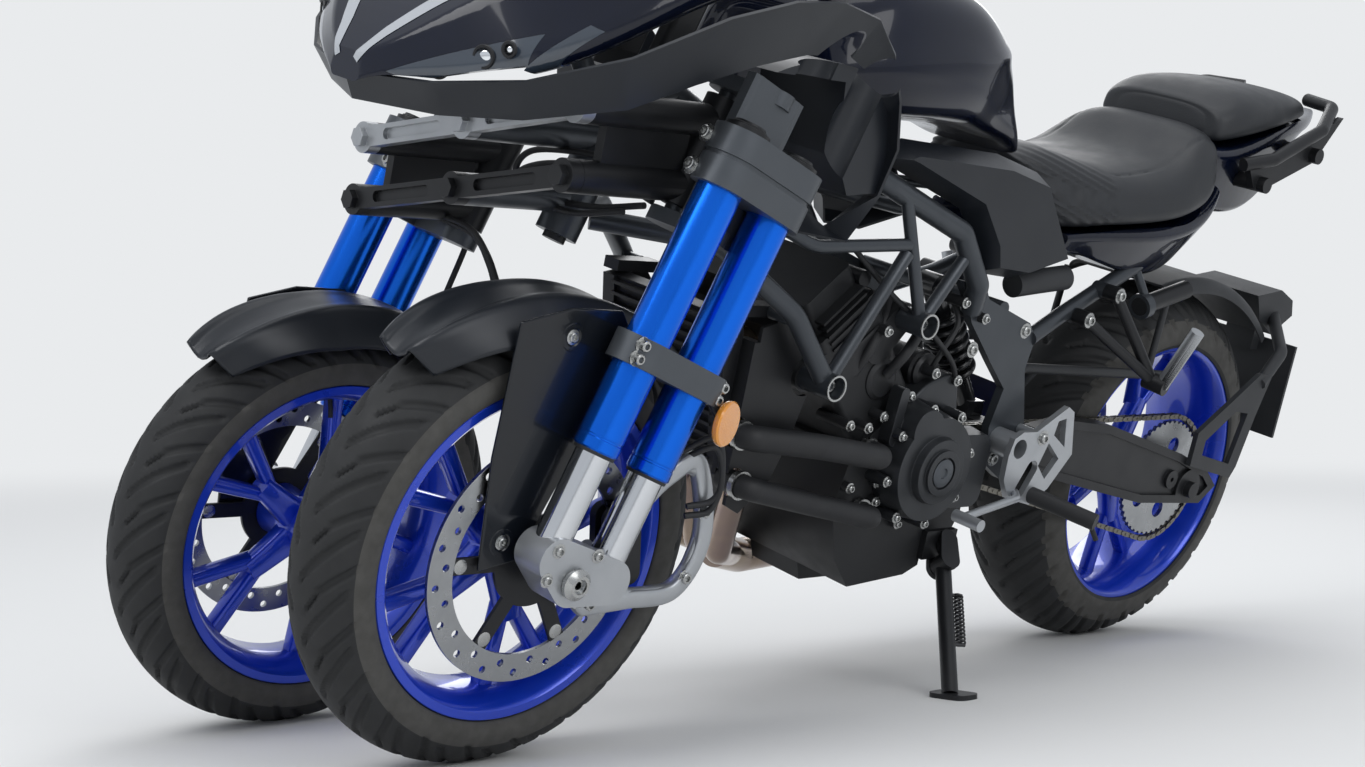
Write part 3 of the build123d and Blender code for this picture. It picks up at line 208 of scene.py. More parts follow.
@dataclass(frozen=True)
class Finish:
    """A surface finish: two close colours mottled together, with its gloss and fine relief."""

    name: str
    colour: str
    second: str
    metallic: float = 0.0
    roughness: float = 0.5
    spread: float = 0.08
    mottle_mm: float = 60.0
    relief_mm: float = 2.0
    relief: float = 0.15
    depth_mm: float = 0.15
    cells: bool = False
    coat: float = 0.0
    stretch: tuple[float, float, float] = (1, 1, 1)
    transmission: float = 0.0
    specular: float = 0.5

    def make(self) -> bpy.types.Material:
        """Build the material: noise mixes the colours and moves the roughness, a finer one bumps it.

        Returns:
            The new material.
        """
        material = bpy.data.materials.new(self.name)
        material.use_nodes = True
        tree = material.node_tree
        shader = tree.nodes["Principled BSDF"]
        coords = add_node(tree, "ShaderNodeTexCoord")
        mapped = add_node(
            tree, "ShaderNodeMapping", {"Vector": coords.outputs["Object"], "Scale": self.stretch}
        )
        place = mapped.outputs[0]
        mottle = add_node(
            tree, "ShaderNodeTexNoise", {"Vector": place, "Scale": 1000 / self.mottle_mm, "Detail": 5.0}
        )
        blend = mottle.outputs["Fac"]
        colours = {"Factor": blend, 6: linear(self.colour), 7: linear(self.second)}
        mixed = add_node(tree, "ShaderNodeMix", colours, data_type="RGBA")
        low, high = max(self.roughness - self.spread, 0.02), min(self.roughness + self.spread, 1.0)
        limits = {"Value": blend, "From Min": 0.3, "From Max": 0.7, "To Min": low, "To Max": high}
        rough = add_node(tree, "ShaderNodeMapRange", limits)
        pattern = {"Vector": place, "Scale": 1000 / self.relief_mm}
        if self.cells:
            height = add_node(tree, "ShaderNodeTexVoronoi", pattern).outputs["Distance"]
        else:
            height = add_node(tree, "ShaderNodeTexNoise", {**pattern, "Detail": 3.0}).outputs["Fac"]
        rise = {"Strength": self.relief, "Distance": self.depth_mm / 1000, "Height": height}
        bump = add_node(tree, "ShaderNodeBump", rise)
        tree.links.new(mixed.outputs[2], shader.inputs["Base Color"])
        tree.links.new(rough.outputs[0], shader.inputs["Roughness"])
        tree.links.new(bump.outputs[0], shader.inputs["Normal"])
        shader.inputs["Metallic"].default_value = self.metallic
        shader.inputs["Coat Weight"].default_value = self.coat
        shader.inputs["Coat Roughness"].default_value = 0.04
        shader.inputs["Transmission Weight"].default_value = self.transmission
        shader.inputs["Specular IOR Level"].default_value = self.specular
        return material


# The numbers after the two colours: metallic, roughness, its spread, mottle mm, relief mm, relief, depth mm
FINISHES = [
    # Filled rubber: nearly black and dull, with a faint grey bloom
    Finish("tyre_rubber", "#18191b", "#212223", roughness=0.72, mottle_mm=30, relief_mm=1.2, relief=0.3),
    # Lacquer over metal flake: a deep blue that keeps a sharp clear-coat highlight
    Finish("blue_lacquered_alloy", "#0d37ba", "#1141cc", 0.45, 0.3, 0.04, 80, 0.8, 0.05, coat=0.9),
    # Anodised drawn tube: saturated blue metal with soft lengthwise streaks
    Finish(
        "blue_anodised_aluminium", "#0a5ad2", "#1672ec", 0.85, 0.2, 0.04, 90, 1.5, 0.02, stretch=(1, 1, 0.2)
    ),
    # Hard chrome on ground steel: mirror-like and slightly warm
    Finish("chromed_steel", "#d9dbde", "#c9ccd0", 1.0, 0.09, 0.03, 60, 1.5, 0.02),
    # Silver paint on a sand casting: pale and satin with a faint orange peel
    Finish("silver_painted_casting", "#b6b9bc", "#a6a9ad", 0.75, 0.36, 0.06, 40, 1.6, 0.12),
    # Black anodised or painted aluminium: near black with a broad dull sheen
    Finish("black_satin_aluminium", "#1b1c1e", "#232427", 0.35, 0.42, 0.07, 50, 1.2, 0.1),
    # Grey paint on the cast brackets round the fork tubes: satin, with a sandy bloom
    Finish("grey_cast_clamp", "#4a4e53", "#565a5f", 0.6, 0.4, 0.06, 45, 1.4, 0.15),
    # Powder coat on welded tube: dark grey with a fine orange peel
    Finish("grey_powder_coat", "#464a4f", "#3d4146", 0.5, 0.34, 0.06, 60, 1.0, 0.12),
    # Heat-proof paint on a rough casting: black, dry and grainy
    Finish("black_engine_paint", "#232426", "#2c2d2f", 0.4, 0.48, 0.08, 35, 1.5, 0.3),
    # Graphite lacquer on die-cast covers: dark grey with a soft metallic sheen
    Finish("graphite_cover_paint", "#3b3d40", "#323437", 0.55, 0.36, 0.07, 45, 1.4, 0.12),
    # Ground stainless: a bright grey with a fine turning grain
    Finish("ground_stainless", "#a9abad", "#989a9c", 1.0, 0.3, 0.06, 20, 0.8, 0.08),
    # Stainless that heat has tinted straw, bronze and violet
    Finish("heat_tinted_stainless", "#b9a888", "#84707c", 1.0, 0.22, 0.06, 70, 2.0, 0.08),
    # Moulded black plastic with a fine spark-eroded grain
    Finish("grained_black_plastic", "#232528", "#2a2c2f", 0.0, 0.56, 0.06, 60, 0.9, 0.35),
    # Matt graphite paint: a dry sheen that goes blue at the edges of the light
    Finish("matt_graphite_paint", "#1d2127", "#191c22", 0.2, 0.36, 0.05, 90, 1.0, 0.06),
    # Two-coat gloss paint: ink blue that goes black in the shade
    Finish(
        "ink_blue_gloss_paint", "#050915", "#081026", 0.0, 0.2, 0.02, 140, 1.2, 0.01, coat=0.55, specular=0.15
    ),
    # Silver decor under the same clear coat
    Finish("silver_gloss_paint", "#c3c7cc", "#b4b8be", 0.5, 0.26, 0.04, 90, 1.0, 0.02, coat=1.0),
    # Vinyl seat cover: soft black with a leather-like grain of small cells
    Finish("grained_vinyl", "#191b1e", "#22252a", 0.0, 0.5, 0.06, 40, 2.2, 0.5, 0.25, cells=True),
    # Smoked acrylic screen, thin enough to see through
    Finish(
        "smoked_screen", "#2b3036", "#23282d", 0.0, 0.08, 0.02, 90, 3.0, 0.01, transmission=0.55, coat=1.0
    ),
    # Oiled chain steel: grey with a brown film
    Finish("oiled_chain_steel", "#726f68", "#86837b", 1.0, 0.36, 0.1, 12, 1.0, 0.15),
    # Hose rubber: dull black
    Finish("hose_rubber", "#17181a", "#202124", 0.0, 0.6, 0.06, 25, 1.0, 0.2),
    # Zinc plated fastener steel: pale and bright
    Finish("zinc_plated_steel", "#b9bab8", "#a5a6a6", 1.0, 0.27, 0.06, 8, 0.8, 0.08),
    # Amber moulded reflector: small cells that glitter under a clear face
    Finish("amber_reflector", "#d8841c", "#e69a2c", 0.0, 0.15, 0.03, 20, 2.5, 0.6, 0.4, cells=True, coat=1.0),
    # Silvered reflector bowl behind a lens
    Finish("bright_reflector", "#eef1f4", "#dfe3e8", 1.0, 0.12, 0.04, 40, 4.0, 0.05),
    # Enamelled spring wire: black with a wet shine
    Finish("black_spring_enamel", "#17181b", "#202226", 0.1, 0.3, 0.05, 40, 1.5, 0.05, coat=0.6),
    # Tyre flank: the rubber is a paler grey between bead and shoulder
    Finish(
        "dusty_sidewall_rubber",
        "#4b4a47",
        "#3a3937",
        roughness=0.82,
        mottle_mm=18,
        relief_mm=1.0,
        relief=0.25,
    ),
    # Lens over a dark lamp housing: black glass with a hard shine
    Finish("dark_lamp_glass", "#2a323c", "#343e4a", 0.0, 0.06, 0.02, 60, 3.0, 0.01, coat=1.0),
    # Gloss black injection-moulded ABS
    Finish(
        "gloss_black_plastic", "#0e1116", "#12161d", 0.0, 0.24, 0.03, 80, 1.2, 0.02, coat=0.3, specular=0.3
    ),
]


class Paintbox:
    """The finishes as materials, by name."""

    def __init__(self) -> None:
        """Make every finish once."""
        self.materials = {finish.name: finish.make() for finish in FINISHES}

    def coat(self, piece: bpy.types.Object, *names: str) -> None:
        """Give a piece its materials, the first one everywhere unless its faces say otherwise.

        Args:
            piece: The object to dress.
            *names: Names of finishes, in the order of its slots.
        """
        piece.data.materials.clear()
        for name in names:
            piece.data.materials.append(self.materials[name])


paint = Paintbox()


def grid_faces(rows: int, columns: int, round_rows: bool = False, round_columns: bool = False) -> np.ndarray:
    """Number the quads of a grid whose rows or columns may close on themselves.

    Args:
        rows: Rows of points.
        columns: Points in each row.
        round_rows: Whether the last row joins the first.
        round_columns: Whether each row's last point joins its first.

    Returns:
        Four corner numbers for each quad.
    """
    r = np.arange(rows if round_rows else rows - 1)[:, None]
    c = np.arange(columns if round_columns else columns - 1)[None, :]
    r2, c2 = (r + 1) % rows, (c + 1) % columns
    corners = [r * columns + c, r * columns + c2, r2 * columns + c2, r2 * columns + c]
    return np.stack(corners, -1).reshape(-1, 4)


def make_piece(
    name: str,
    shape: Shape,
    upright: Upright,
    body: str,
    *finishes: str,
    smooth_deg: float = 40.0,
    closed: bool = True,
) -> bpy.types.Object:
    """Make a piece from upright points in mm, turn its faces outwards, and set it on its body.

    Args:
        name: The piece's name.
        shape: Points in mm, and the corner numbers of its faces.
        upright: The frame that the points are drawn in.
        body: The moving body that carries it.
        *finishes: Names of its materials.
        smooth_deg: Edges sharper than this stay crisp.
        closed: Whether it is a closed shell, whose faces are then turned outwards.

    Returns:
        The new object.
    """
    points, faces = shape
    mesh = bpy.data.meshes.new(name)
    mesh.from_pydata(placed(points, upright).tolist(), [], [tuple(map(int, face)) for face in faces])
    form = bmesh.new()
    form.from_mesh(mesh)
    bmesh.ops.remove_doubles(form, verts=form.verts, dist=2e-6)
    bmesh.ops.dissolve_degenerate(form, edges=form.edges, dist=1e-6)
    if closed:
        bmesh.ops.recalc_face_normals(form, faces=form.faces)
    form.to_mesh(mesh)
    form.free()
    mesh.shade_smooth()
    mesh.set_sharp_from_angle(angle=math.radians(smooth_deg))
    piece = bpy.data.objects.new(name, mesh)
    bpy.context.scene.collection.objects.link(piece)
    paint.coat(piece, *finishes)
    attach(piece, body)
    return piece


def fitted(name: str, shape: Shape, finish: str, smooth_deg: float = 40.0) -> bpy.types.Object:
    """Make a piece that is drawn in the body's own frame and rides on the chassis.

    Args:
        name: The piece's name.
        shape: Points and faces.
        finish: Name of its material.
        smooth_deg: Edges sharper than this stay crisp.

    Returns:
        The new object.
    """
    return make_piece(name, shape, Upright.BODY, "chassis", finish, smooth_deg=smooth_deg)


def bevelled(
    piece: bpy.types.Object, width_mm: float, segments: int = 2, angle_deg: float = 35
) -> bpy.types.Object:
    """Round a piece's sharp edges with a bevel and even out its shading.

    Args:
        piece: The object.
        width_mm: Width of the bevel.
        segments: Steps in its round.
        angle_deg: Edges blunter than this are left.

    Returns:
        The same object.
    """
    bevel = piece.modifiers.new("edges", "BEVEL")
    bevel.width = width_mm / 1000
    bevel.segments = segments
    bevel.limit_method = "ANGLE"
    bevel.angle_limit = math.radians(angle_deg)
    piece.modifiers.new("shading", "WEIGHTED_NORMAL").keep_sharp = False
    return piece


def thickened(piece: bpy.types.Object, wall_mm: float, offset: float = -1.0) -> bpy.types.Object:
    """Give an open sheet its wall.

    Args:
        piece: The sheet.
        wall_mm: Thickness of the wall.
        offset: 1 to grow outwards from the sheet, -1 inwards.

    Returns:
        The same object.
    """
    wall = piece.modifiers.new("wall", "SOLIDIFY")
    wall.thickness = wall_mm / 1000
    wall.offset = offset
    return piece


def softened(node: str, width_mm: float, *finishes: str, merge_deg: float = 1.0) -> bpy.types.Object:
    """Stand a rounded copy of a CAD node for it: doubles merged, flat faces joined, edges bevelled.

    Args:
        node: The CAD node's name.
        width_mm: Width of the bevel on its edges.
        *finishes: Names of its materials.
        merge_deg: Faces that meet at less than this are joined, or 0 to keep them all.

    Returns:
        The new object.
    """
    source = nodes[node]
    form = bmesh.new()
    form.from_mesh(source.data)
    bmesh.ops.remove_doubles(form, verts=form.verts, dist=1e-5)
    if merge_deg:
        bmesh.ops.dissolve_limit(
            form, angle_limit=math.radians(merge_deg), verts=form.verts, edges=form.edges
        )
    mesh = bpy.data.meshes.new(f"{node}_dressed")
    form.to_mesh(mesh)
    form.free()
    mesh.shade_smooth()
    mesh.set_sharp_from_angle(angle=math.radians(32))
    piece = bpy.data.objects.new(f"{node}_dressed", mesh)
    bpy.context.scene.collection.objects.link(piece)
    paint.coat(piece, *finishes)
    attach(piece, source["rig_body"])
    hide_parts(node)
    return bevelled(piece, width_mm)


def painted_where(
    piece: bpy.types.Object,
    upright: Upright,
    rule: Callable[[np.ndarray, np.ndarray, np.ndarray], np.ndarray],
    index: int,
) -> None:
    """Give a material slot to the faces whose centres meet a rule.

    Args:
        piece: The object.
        upright: The frame that the rule is written in.
        rule: Takes arrays of x, y, z in mm and says which faces are meant.
        index: Number of the slot.
    """
    count = len(piece.data.polygons)
    centres = np.zeros(count * 3)
    piece.data.polygons.foreach_get("center", centres)
    x, y, z = stood_up(centres.reshape(-1, 3), upright).T
    slots = np.zeros(count, np.int32)
    piece.data.polygons.foreach_get("material_index", slots)
    piece.data.polygons.foreach_set("material_index", np.where(rule(x, y, z), index, slots).astype(np.int32))


def tube_points(path: np.ndarray, radius: float, around: int = 20) -> Shape:
    """Carry a circle along a path, square to it, with flat ends.

    Args:
        path: Points in mm.
        radius: Radius in mm.
        around: Points in the circle.

    Returns:
        Points and faces.
    """
    path = np.asarray(path, float)
    run = np.gradient(path, axis=0)
    run /= np.linalg.norm(run, axis=1, keepdims=True) + 1e-12
    spread = path.max(0) - path.min(0)
    guide = np.eye(3)[int(np.argmin(spread))]
    side = np.cross(run, guide)
    side /= np.linalg.norm(side, axis=1, keepdims=True) + 1e-12
    up = np.cross(side, run)
    turn = np.linspace(0, 2 * np.pi, around, endpoint=False)[None, :, None]
    ring = np.cos(turn) * side[:, None] + np.sin(turn) * up[:, None]
    body = path[:, None] + ring * radius
    points = np.vstack([body.reshape(-1, 3), path[0], path[-1]])
    faces = [tuple(f) for f in grid_faces(len(path), around, False, True)]
    first = np.arange(around)
    last = first + (len(path) - 1) * around
    start, end = len(points) - 2, len(points) - 1
    faces += [(start, a, b) for a, b in zip(np.roll(first, -1), first)]
    faces += [(end, a, b) for a, b in zip(last, np.roll(last, -1))]
    return points, faces


def smooth_tube(
    name: str,
    path: list,
    radius: float,
    upright: Upright,
    body: str,
    finish: str,
    count: int = 48,
    around: int = 20,
) -> bpy.types.Object:
    """Bend a tube or hose along a smooth curve through a few points.

    Args:
        name: The piece's name.
        path: Points in mm.
        radius: Its radius in mm.
        upright: The frame that the points are drawn in.
        body: The moving body that carries it.
        finish: Name of its material.
        count: Steps along the curve.
        around: Points in its circle.

    Returns:
        The new object.
    """
    shape = tube_points(resample(np.array(path, float), count), radius, around)
    return make_piece(name, shape, upright, body, finish)


def prism(low: np.ndarray, high: np.ndarray) -> Shape:
    """Join two equal outlines to a closed prism.

    Args:
        low: N points of one end.
        high: N points of the other.

    Returns:
        Points and faces: both ends and a quad for each edge.
    """
    count = len(low)
    ring = np.arange(count)
    sides = [(a, b, b + count, a + count) for a, b in zip(ring, np.roll(ring, -1))]
    return np.vstack([low, high]), [tuple(ring[::-1]), tuple(ring + count), *sides]


def merged(parts: list[Shape]) -> Shape:
    """Put several shapes together as one.

    Args:
        parts: Points and faces of each.

    Returns:
        All points, and all faces with their corner numbers moved on.
    """
    points, faces, start = [], [], 0
    for some, corners in parts:
        points.append(some)
        faces += [tuple(int(i) + start for i in face) for face in corners]
        start += len(some)
    return np.vstack(points), faces


def turned(
    profile: list | np.ndarray, centre: np.ndarray, axis: np.ndarray, around: int = 96, closed: bool = True
) -> Shape:
    """Turn a profile about an axis: each point (along, radius) sweeps a circle.

    Args:
        profile: K points along the axis and out from it, in mm.
        centre: The axis's zero.
        axis: Its direction.
        around: Points in each circle.
        closed: Whether the profile closes on itself.

    Returns:
        Points and faces.
    """
    axis = np.asarray(axis, float) / np.linalg.norm(axis)
    guide = np.array([0, 0, 1.0]) if abs(axis[2]) < 0.9 else np.array([0, 1.0, 0])
    side = np.cross(axis, guide)
    side /= np.linalg.norm(side)
    up = np.cross(side, axis)
    profile = np.asarray(profile, float)
    turn = np.linspace(0, 2 * np.pi, around, endpoint=False)
    ring = np.cos(turn)[:, None] * side + np.sin(turn)[:, None] * up
    points = np.asarray(centre, float) + profile[:, None, :1] * axis + profile[:, None, 1:] * ring[None]
    return points.reshape(-1, 3), grid_faces(len(profile), around, closed, True)


def screw_heads(
    name: str,
    places: list,
    direction: tuple,
    upright: Upright,
    body: str,
    radius: float = 6.0,
    height: float = 6.0,
) -> bpy.types.Object:
    """Set cap screws with a socket, all facing one way, as one piece.

    Args:
        name: The piece's name.
        places: Centres of their seats in mm.
        direction: The way they face.
        upright: The frame that they are drawn in.
        body: The moving body that carries them.
        radius: Radius of a head in mm.
        height: Height of a head in mm.

    Returns:
        The new object.
    """
    r, h = radius, height
    washer = [(-1, 0), (-1, 1.5 * r), (0.5, 1.5 * r), (1, r)]
    head = [(h - 1, r), (h, r - 1), (h, 0.55 * r), (0.45 * h, 0.5 * r), (0.4 * h, 0)]
    parts = [turned(washer + head, place, np.array(direction, float), 14, False) for place in places]
    return make_piece(name, merged(parts), upright, body, "zinc_plated_steel", smooth_deg=30)


def skin_points(
    rows: list,
    along: int,
    around: int,
    power: float = 4.0,
    swell: Callable[[np.ndarray], np.ndarray] | None = None,
) -> Shape:
    """Draw a smooth skin through a few upright sections, each a rounded trapezium, with closed ends.

    The section is a superellipse: cosine and sine raised to 2 / power, with the sine also widening
    it from its low half width to its high one.

    Args:
        rows: y, half width low, half width high, z low, z high of each section in mm.
        along: Sections to make.
        around: Points in each section.
        power: How square the sections are.
        swell: Moves arrays of points where the form departs from its sections.

    Returns:
        Points and faces.
    """
    y, low, high, bottom, top = resample(np.array(rows, float), along).T[:, :, None]
    across, rise = squared(np.linspace(0, 2 * np.pi, around, endpoint=False)[None], 2 / power)
    half = low + (high - low) * (rise + 1) / 2
    height = (bottom + top) / 2 + rise * (top - bottom) / 2
    points = np.stack([across * half, np.broadcast_to(y, half.shape), height], -1)
    if swell is not None:
        points = swell(points)
    middle = points[[0, -1]].mean(1, keepdims=True)
    pole, rim = (middle + share * (points[[0, -1]] - middle) for share in (0.0, 0.8))
    grid = np.vstack([pole[:1], rim[:1], points, rim[1:], pole[1:]])
    return grid.reshape(-1, 3), grid_faces(len(grid), around, False, True)


@dataclass
class Tyre:
    """A road tyre: round crown with swept grooves, sidewall ribs and open beads."""

    node: str
    body: str
    upright: Upright
    centre: np.ndarray
    radius: float
    crown: float
    bead: float
    lip: float
    pitches: int = 22
    groove_depth: float = 4.0
    around: int = 1056
    across: int = 66

    def grooves(self, top: np.ndarray, turn: np.ndarray) -> np.ndarray:
        """Press three grooves to a pitch, swept back from the middle and half a pitch apart on its sides.

        Args:
            top: Angles over the crown, from the middle.
            turn: Angles round the wheel, as one row.

        Returns:
            Depth of tread at each point of the grid, from 0 on the surface to 1 in a groove.
        """
        w = np.abs(top)[:, None] / np.radians(66)
        beat = turn / (2 * np.pi) * self.pitches + 0.5 * (top[:, None] > 0)
        depth = np.zeros((self.across, self.around))
        # Each groove: shift in pitches, start and end over the crown, slope, half width in pitches
        for shift, start, end, slope, width in (
            (0.0, 0.07, 0.98, 1.0, 0.085),
            (0.42, 0.42, 1.08, 0.8, 0.075),
            (0.68, 0.2, 0.5, 1.15, 0.05),
        ):
            phase = np.abs((beat + shift - slope * 1.15 * w**0.8) % 1.0 - 0.5)
            wall = np.clip((width - phase) / 0.03 + 0.5, 0, 1)
            window = np.clip((w - start) / 0.05, 0, 1) * np.clip((end - w) / 0.06, 0, 1)
            depth = np.maximum(depth, wall * window)
        return depth

    def points(self) -> np.ndarray:
        """Work out the tyre: an arc over the crown, blended to the bead, less the grooves.

        Returns:
            A grid of points in mm, bead to bead by round the wheel.
        """
        top = np.radians(np.linspace(-104, 104, self.across))
        fade = np.clip((np.abs(top) - np.radians(78)) / np.radians(26), 0, 1) ** 2
        x = np.sin(top) * self.crown * (1 - fade) + np.sign(top) * (self.lip + 3.0) * fade
        r = (self.radius - self.crown + np.cos(top) * self.crown) * (1 - fade) + (self.bead + 9.0) * fade
        x = x + np.sign(top) * 0.7 * np.exp(-(((np.abs(top) - np.radians(84)) / 0.018) ** 2))
        turn = np.linspace(0, 2 * np.pi, self.around, endpoint=False)[None]
        sunk = self.grooves(top, turn) * self.groove_depth
        across = x[:, None] - sunk * np.sin(top)[:, None]
        out = r[:, None] - sunk * np.cos(top)[:, None]
        grid = np.stack([across, out * np.sin(turn), out * np.cos(turn)], -1)
        lips = [np.full((1, self.around), -self.lip), self.bead * np.sin(turn), self.bead * np.cos(turn)]
        lower = np.stack(lips, -1)
        return np.vstack([lower, grid, lower * [-1, 1, 1]]) + self.centre

    def build(self) -> None:
        """Make the tyre and stand it for its CAD node."""
        grid = self.points()
        shape = (grid.reshape(-1, 3), grid_faces(len(grid), self.around, True, True))
        piece = make_piece(
            f"{self.node}_tread",
            shape,
            self.upright,
            self.body,
            "tyre_rubber",
            "dusty_sidewall_rubber",
            smooth_deg=50,
        )
        low, high = self.bead + 6, self.bead + 0.5 * (self.radius - self.bead)

        def flank(x: np.ndarray, y: np.ndarray, z: np.ndarray) -> np.ndarray:
            """Faces of both flanks, between the bead and the tread's shoulder."""
            reach = np.hypot(y - self.centre[1], z - self.centre[2])
            return (reach > low) & (reach < high) & (np.abs(x) > 0.6 * self.crown)

        painted_where(piece, self.upright, flank, 1)
        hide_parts(self.node)


@dataclass
class Rim:
    """A cast rim: well-base barrel, hub and five spokes that fork like a Y."""

    node: str
    body: str
    upright: Upright
    centre: np.ndarray
    bead: float
    half: float
    hub: float
    hub_left: float
    hub_right: float
    bore: float
    spokes: int = 5
    fork_deg: float = 14.0

    def barrel(self) -> Shape:
        """Turn the barrel: flanges, bead seats and a dropped well, closed by its inner face.

        Returns:
            Points and faces.
        """
        b, h = self.bead, self.half
        half = [(h - 1, b + 7), (h, b + 6), (h, b - 4), (h - 5, b - 9), (0.62 * h, b - 15), (0.5 * h, b - 19)]
        outer = [(0.35 * h, b - 8), (0.7 * h, b - 1), (h - 6, b - 0.5), (h - 5.6, b + 6)]
        inner = half + [(-x, r) for x, r in half[::-1]]
        return turned(inner + [(-x, r) for x, r in outer[::-1]] + outer, self.centre, X_AXIS, 160)

    def hub_form(self) -> Shape:
        """Turn the hub, waisted between its ends, with the bore through it.

        Returns:
            Points and faces.
        """
        left, right, h = self.hub_left, -self.hub_right, self.hub
        waist = [(right + 3, h), (-18, h - 2), (0, h + 3), (18, h - 2), (left - 3, h)]
        ends = [(left, h - 3), (left, self.bore)]
        return turned([(right, self.bore), (right, h - 3), *waist, *ends], self.centre, X_AXIS, 64)

    def spoke(self, start: np.ndarray, end: np.ndarray, wide: tuple, deep: tuple, bow: float) -> Shape:
        """Carry a squarish section between two points of the wheel plane, tapering and bowing.

        Args:
            start: Y and Z of its root, from the axle.
            end: Y and Z of its tip.
            wide: Half widths at both ends in mm.
            deep: Half depths at both ends in mm.
            bow: How far its tip stands out along the axle.

        Returns:
            Points and faces.
        """
        t = np.linspace(0, 1, 12)[:, None]
        along = (end - start) / np.linalg.norm(end - start)
        side = np.array([0, -along[1], along[0]])
        c, s = squared(np.linspace(0, 2 * np.pi, 20, endpoint=False)[None], 0.6)
        half_wide = wide[0] + (wide[1] - wide[0]) * t**0.8
        half_deep = deep[0] + (deep[1] - deep[0]) * t
        centre = np.concatenate([bow * np.sin(np.pi * t * 0.5), start + (end - start) * t], 1)
        grid = centre[:, None] + (half_wide * c)[..., None] * side + (half_deep * s)[..., None] * X_AXIS
        ends = np.broadcast_to(grid.mean(1, keepdims=True), grid.shape)
        grid = np.vstack([ends[:1], grid, ends[-1:]]) + self.centre
        return grid.reshape(-1, 3), grid_faces(len(grid), 20, False, True)

    def build(self) -> None:
        """Make barrel, hub and spokes as one piece and stand it for its CAD node."""
        parts = [self.barrel(), self.hub_form()]
        inner = self.bead - 12
        root = self.hub + 0.42 * (inner - self.hub)
        for index in range(self.spokes):
            angle = 2 * math.pi * index / self.spokes
            out = np.array([math.cos(angle), math.sin(angle)])
            parts.append(self.spoke(out * self.hub * 0.7, out * root, (22, 15), (17, 14), 4))
            for side in (-1, 1):
                spread = angle + side * math.radians(self.fork_deg)
                tip = inner * np.array([math.cos(spread), math.sin(spread)])
                begin = out * (root - 16) + side * 6 * np.array([-out[1], out[0]])
                parts.append(self.spoke(begin, tip, (8.5, 10.5), (14, 12), 0))
        piece = make_piece(
            f"{self.node}_cast", merged(parts), self.upright, self.body, "blue_lacquered_alloy", smooth_deg=35
        )
        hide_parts(self.node)
        stem = np.array([[8, 0, self.bead - 16], [16, 0, self.bead - 34], [19, 0, self.bead - 46]])
        valve = tube_points(stem + self.centre, 3.2, 12)
        make_piece(f"{self.node}_valve", valve, self.upright, self.body, "hose_rubber")


@dataclass
class Wheels:
    """The three wheels with their discs and small fasteners."""

    front: dict = field(default_factory=lambda: {"radius": 274.5, "crown": 60.0, "bead": 198.0, "lip": 46.2})
    rear: dict = field(default_factory=lambda: {"radius": 320.4, "crown": 92.0, "bead": 225.0, "lip": 80.2})
    disc_x: float = 66.0
    carrier: float = 113.0
    button_ring: float = 106.0

    def build(self) -> None:
        """Make tyres, rims and disc finishes on all three wheels."""
        for side in Side:
            name = side.name.lower()
            upright, body = Upright[side.name], f"{name}_front_wheel"
            Tyre(f"{name}_front_tyre", body, upright, FRONT_AXLE, **self.front).build()
            hub = (63.5, 40.0) if side is Side.LEFT else (40.0, 63.5)
            Rim(f"{name}_front_rim", body, upright, FRONT_AXLE, 198.0, 52.0, 36.0, *hub, 12.8).build()
            disc = softened(
                f"{name}_front_disc", 0.3, "ground_stainless", "black_satin_aluminium", merge_deg=0.0
            )
            painted_where(
                disc,
                upright,
                lambda x, y, z: np.hypot(y - FRONT_AXLE[1], z - FRONT_AXLE[2]) < self.carrier,
                1,
            )
            self.disc_buttons(side, upright, body)
        Tyre(
            "rear_tyre", "rear_wheel", Upright.BODY, REAR_AXLE, **self.rear, pitches=24, groove_depth=5.0
        ).build()
        Rim("rear_rim", "rear_wheel", Upright.BODY, REAR_AXLE, 225.0, 86.0, 48.0, 100.5, 115.5, 14.3).build()
        paint.coat(nodes["rear_disc"], "ground_stainless")
        paint.coat(nodes["rear_sprocket"], "ground_stainless")
        log.info("wheels")

    def disc_buttons(self, side: Side, upright: Upright, body: str) -> None:
        """Set the floating disc's buttons: small turned washers in a ring on both faces.

        Args:
            side: The side of the wheel.
            upright: The frame of that wheel.
            body: The wheel's body.
        """
        profile = [(-3.5, 0), (-3.5, 7), (-2.8, 9), (2.8, 9), (3.5, 7), (3.5, 0)]
        angles = np.radians(np.arange(6) * 60.0)
        ring = [np.full(6, side.value * self.disc_x), np.cos(angles), np.sin(angles)]
        centres = FRONT_AXLE + np.stack(ring, -1) * [1, self.button_ring, self.button_ring]
        parts = [turned(profile, centre, X_AXIS, 18, False) for centre in centres]
        name = f"{side.name.lower()}_disc_buttons"
        make_piece(name, merged(parts), upright, body, "zinc_plated_steel", smooth_deg=30)


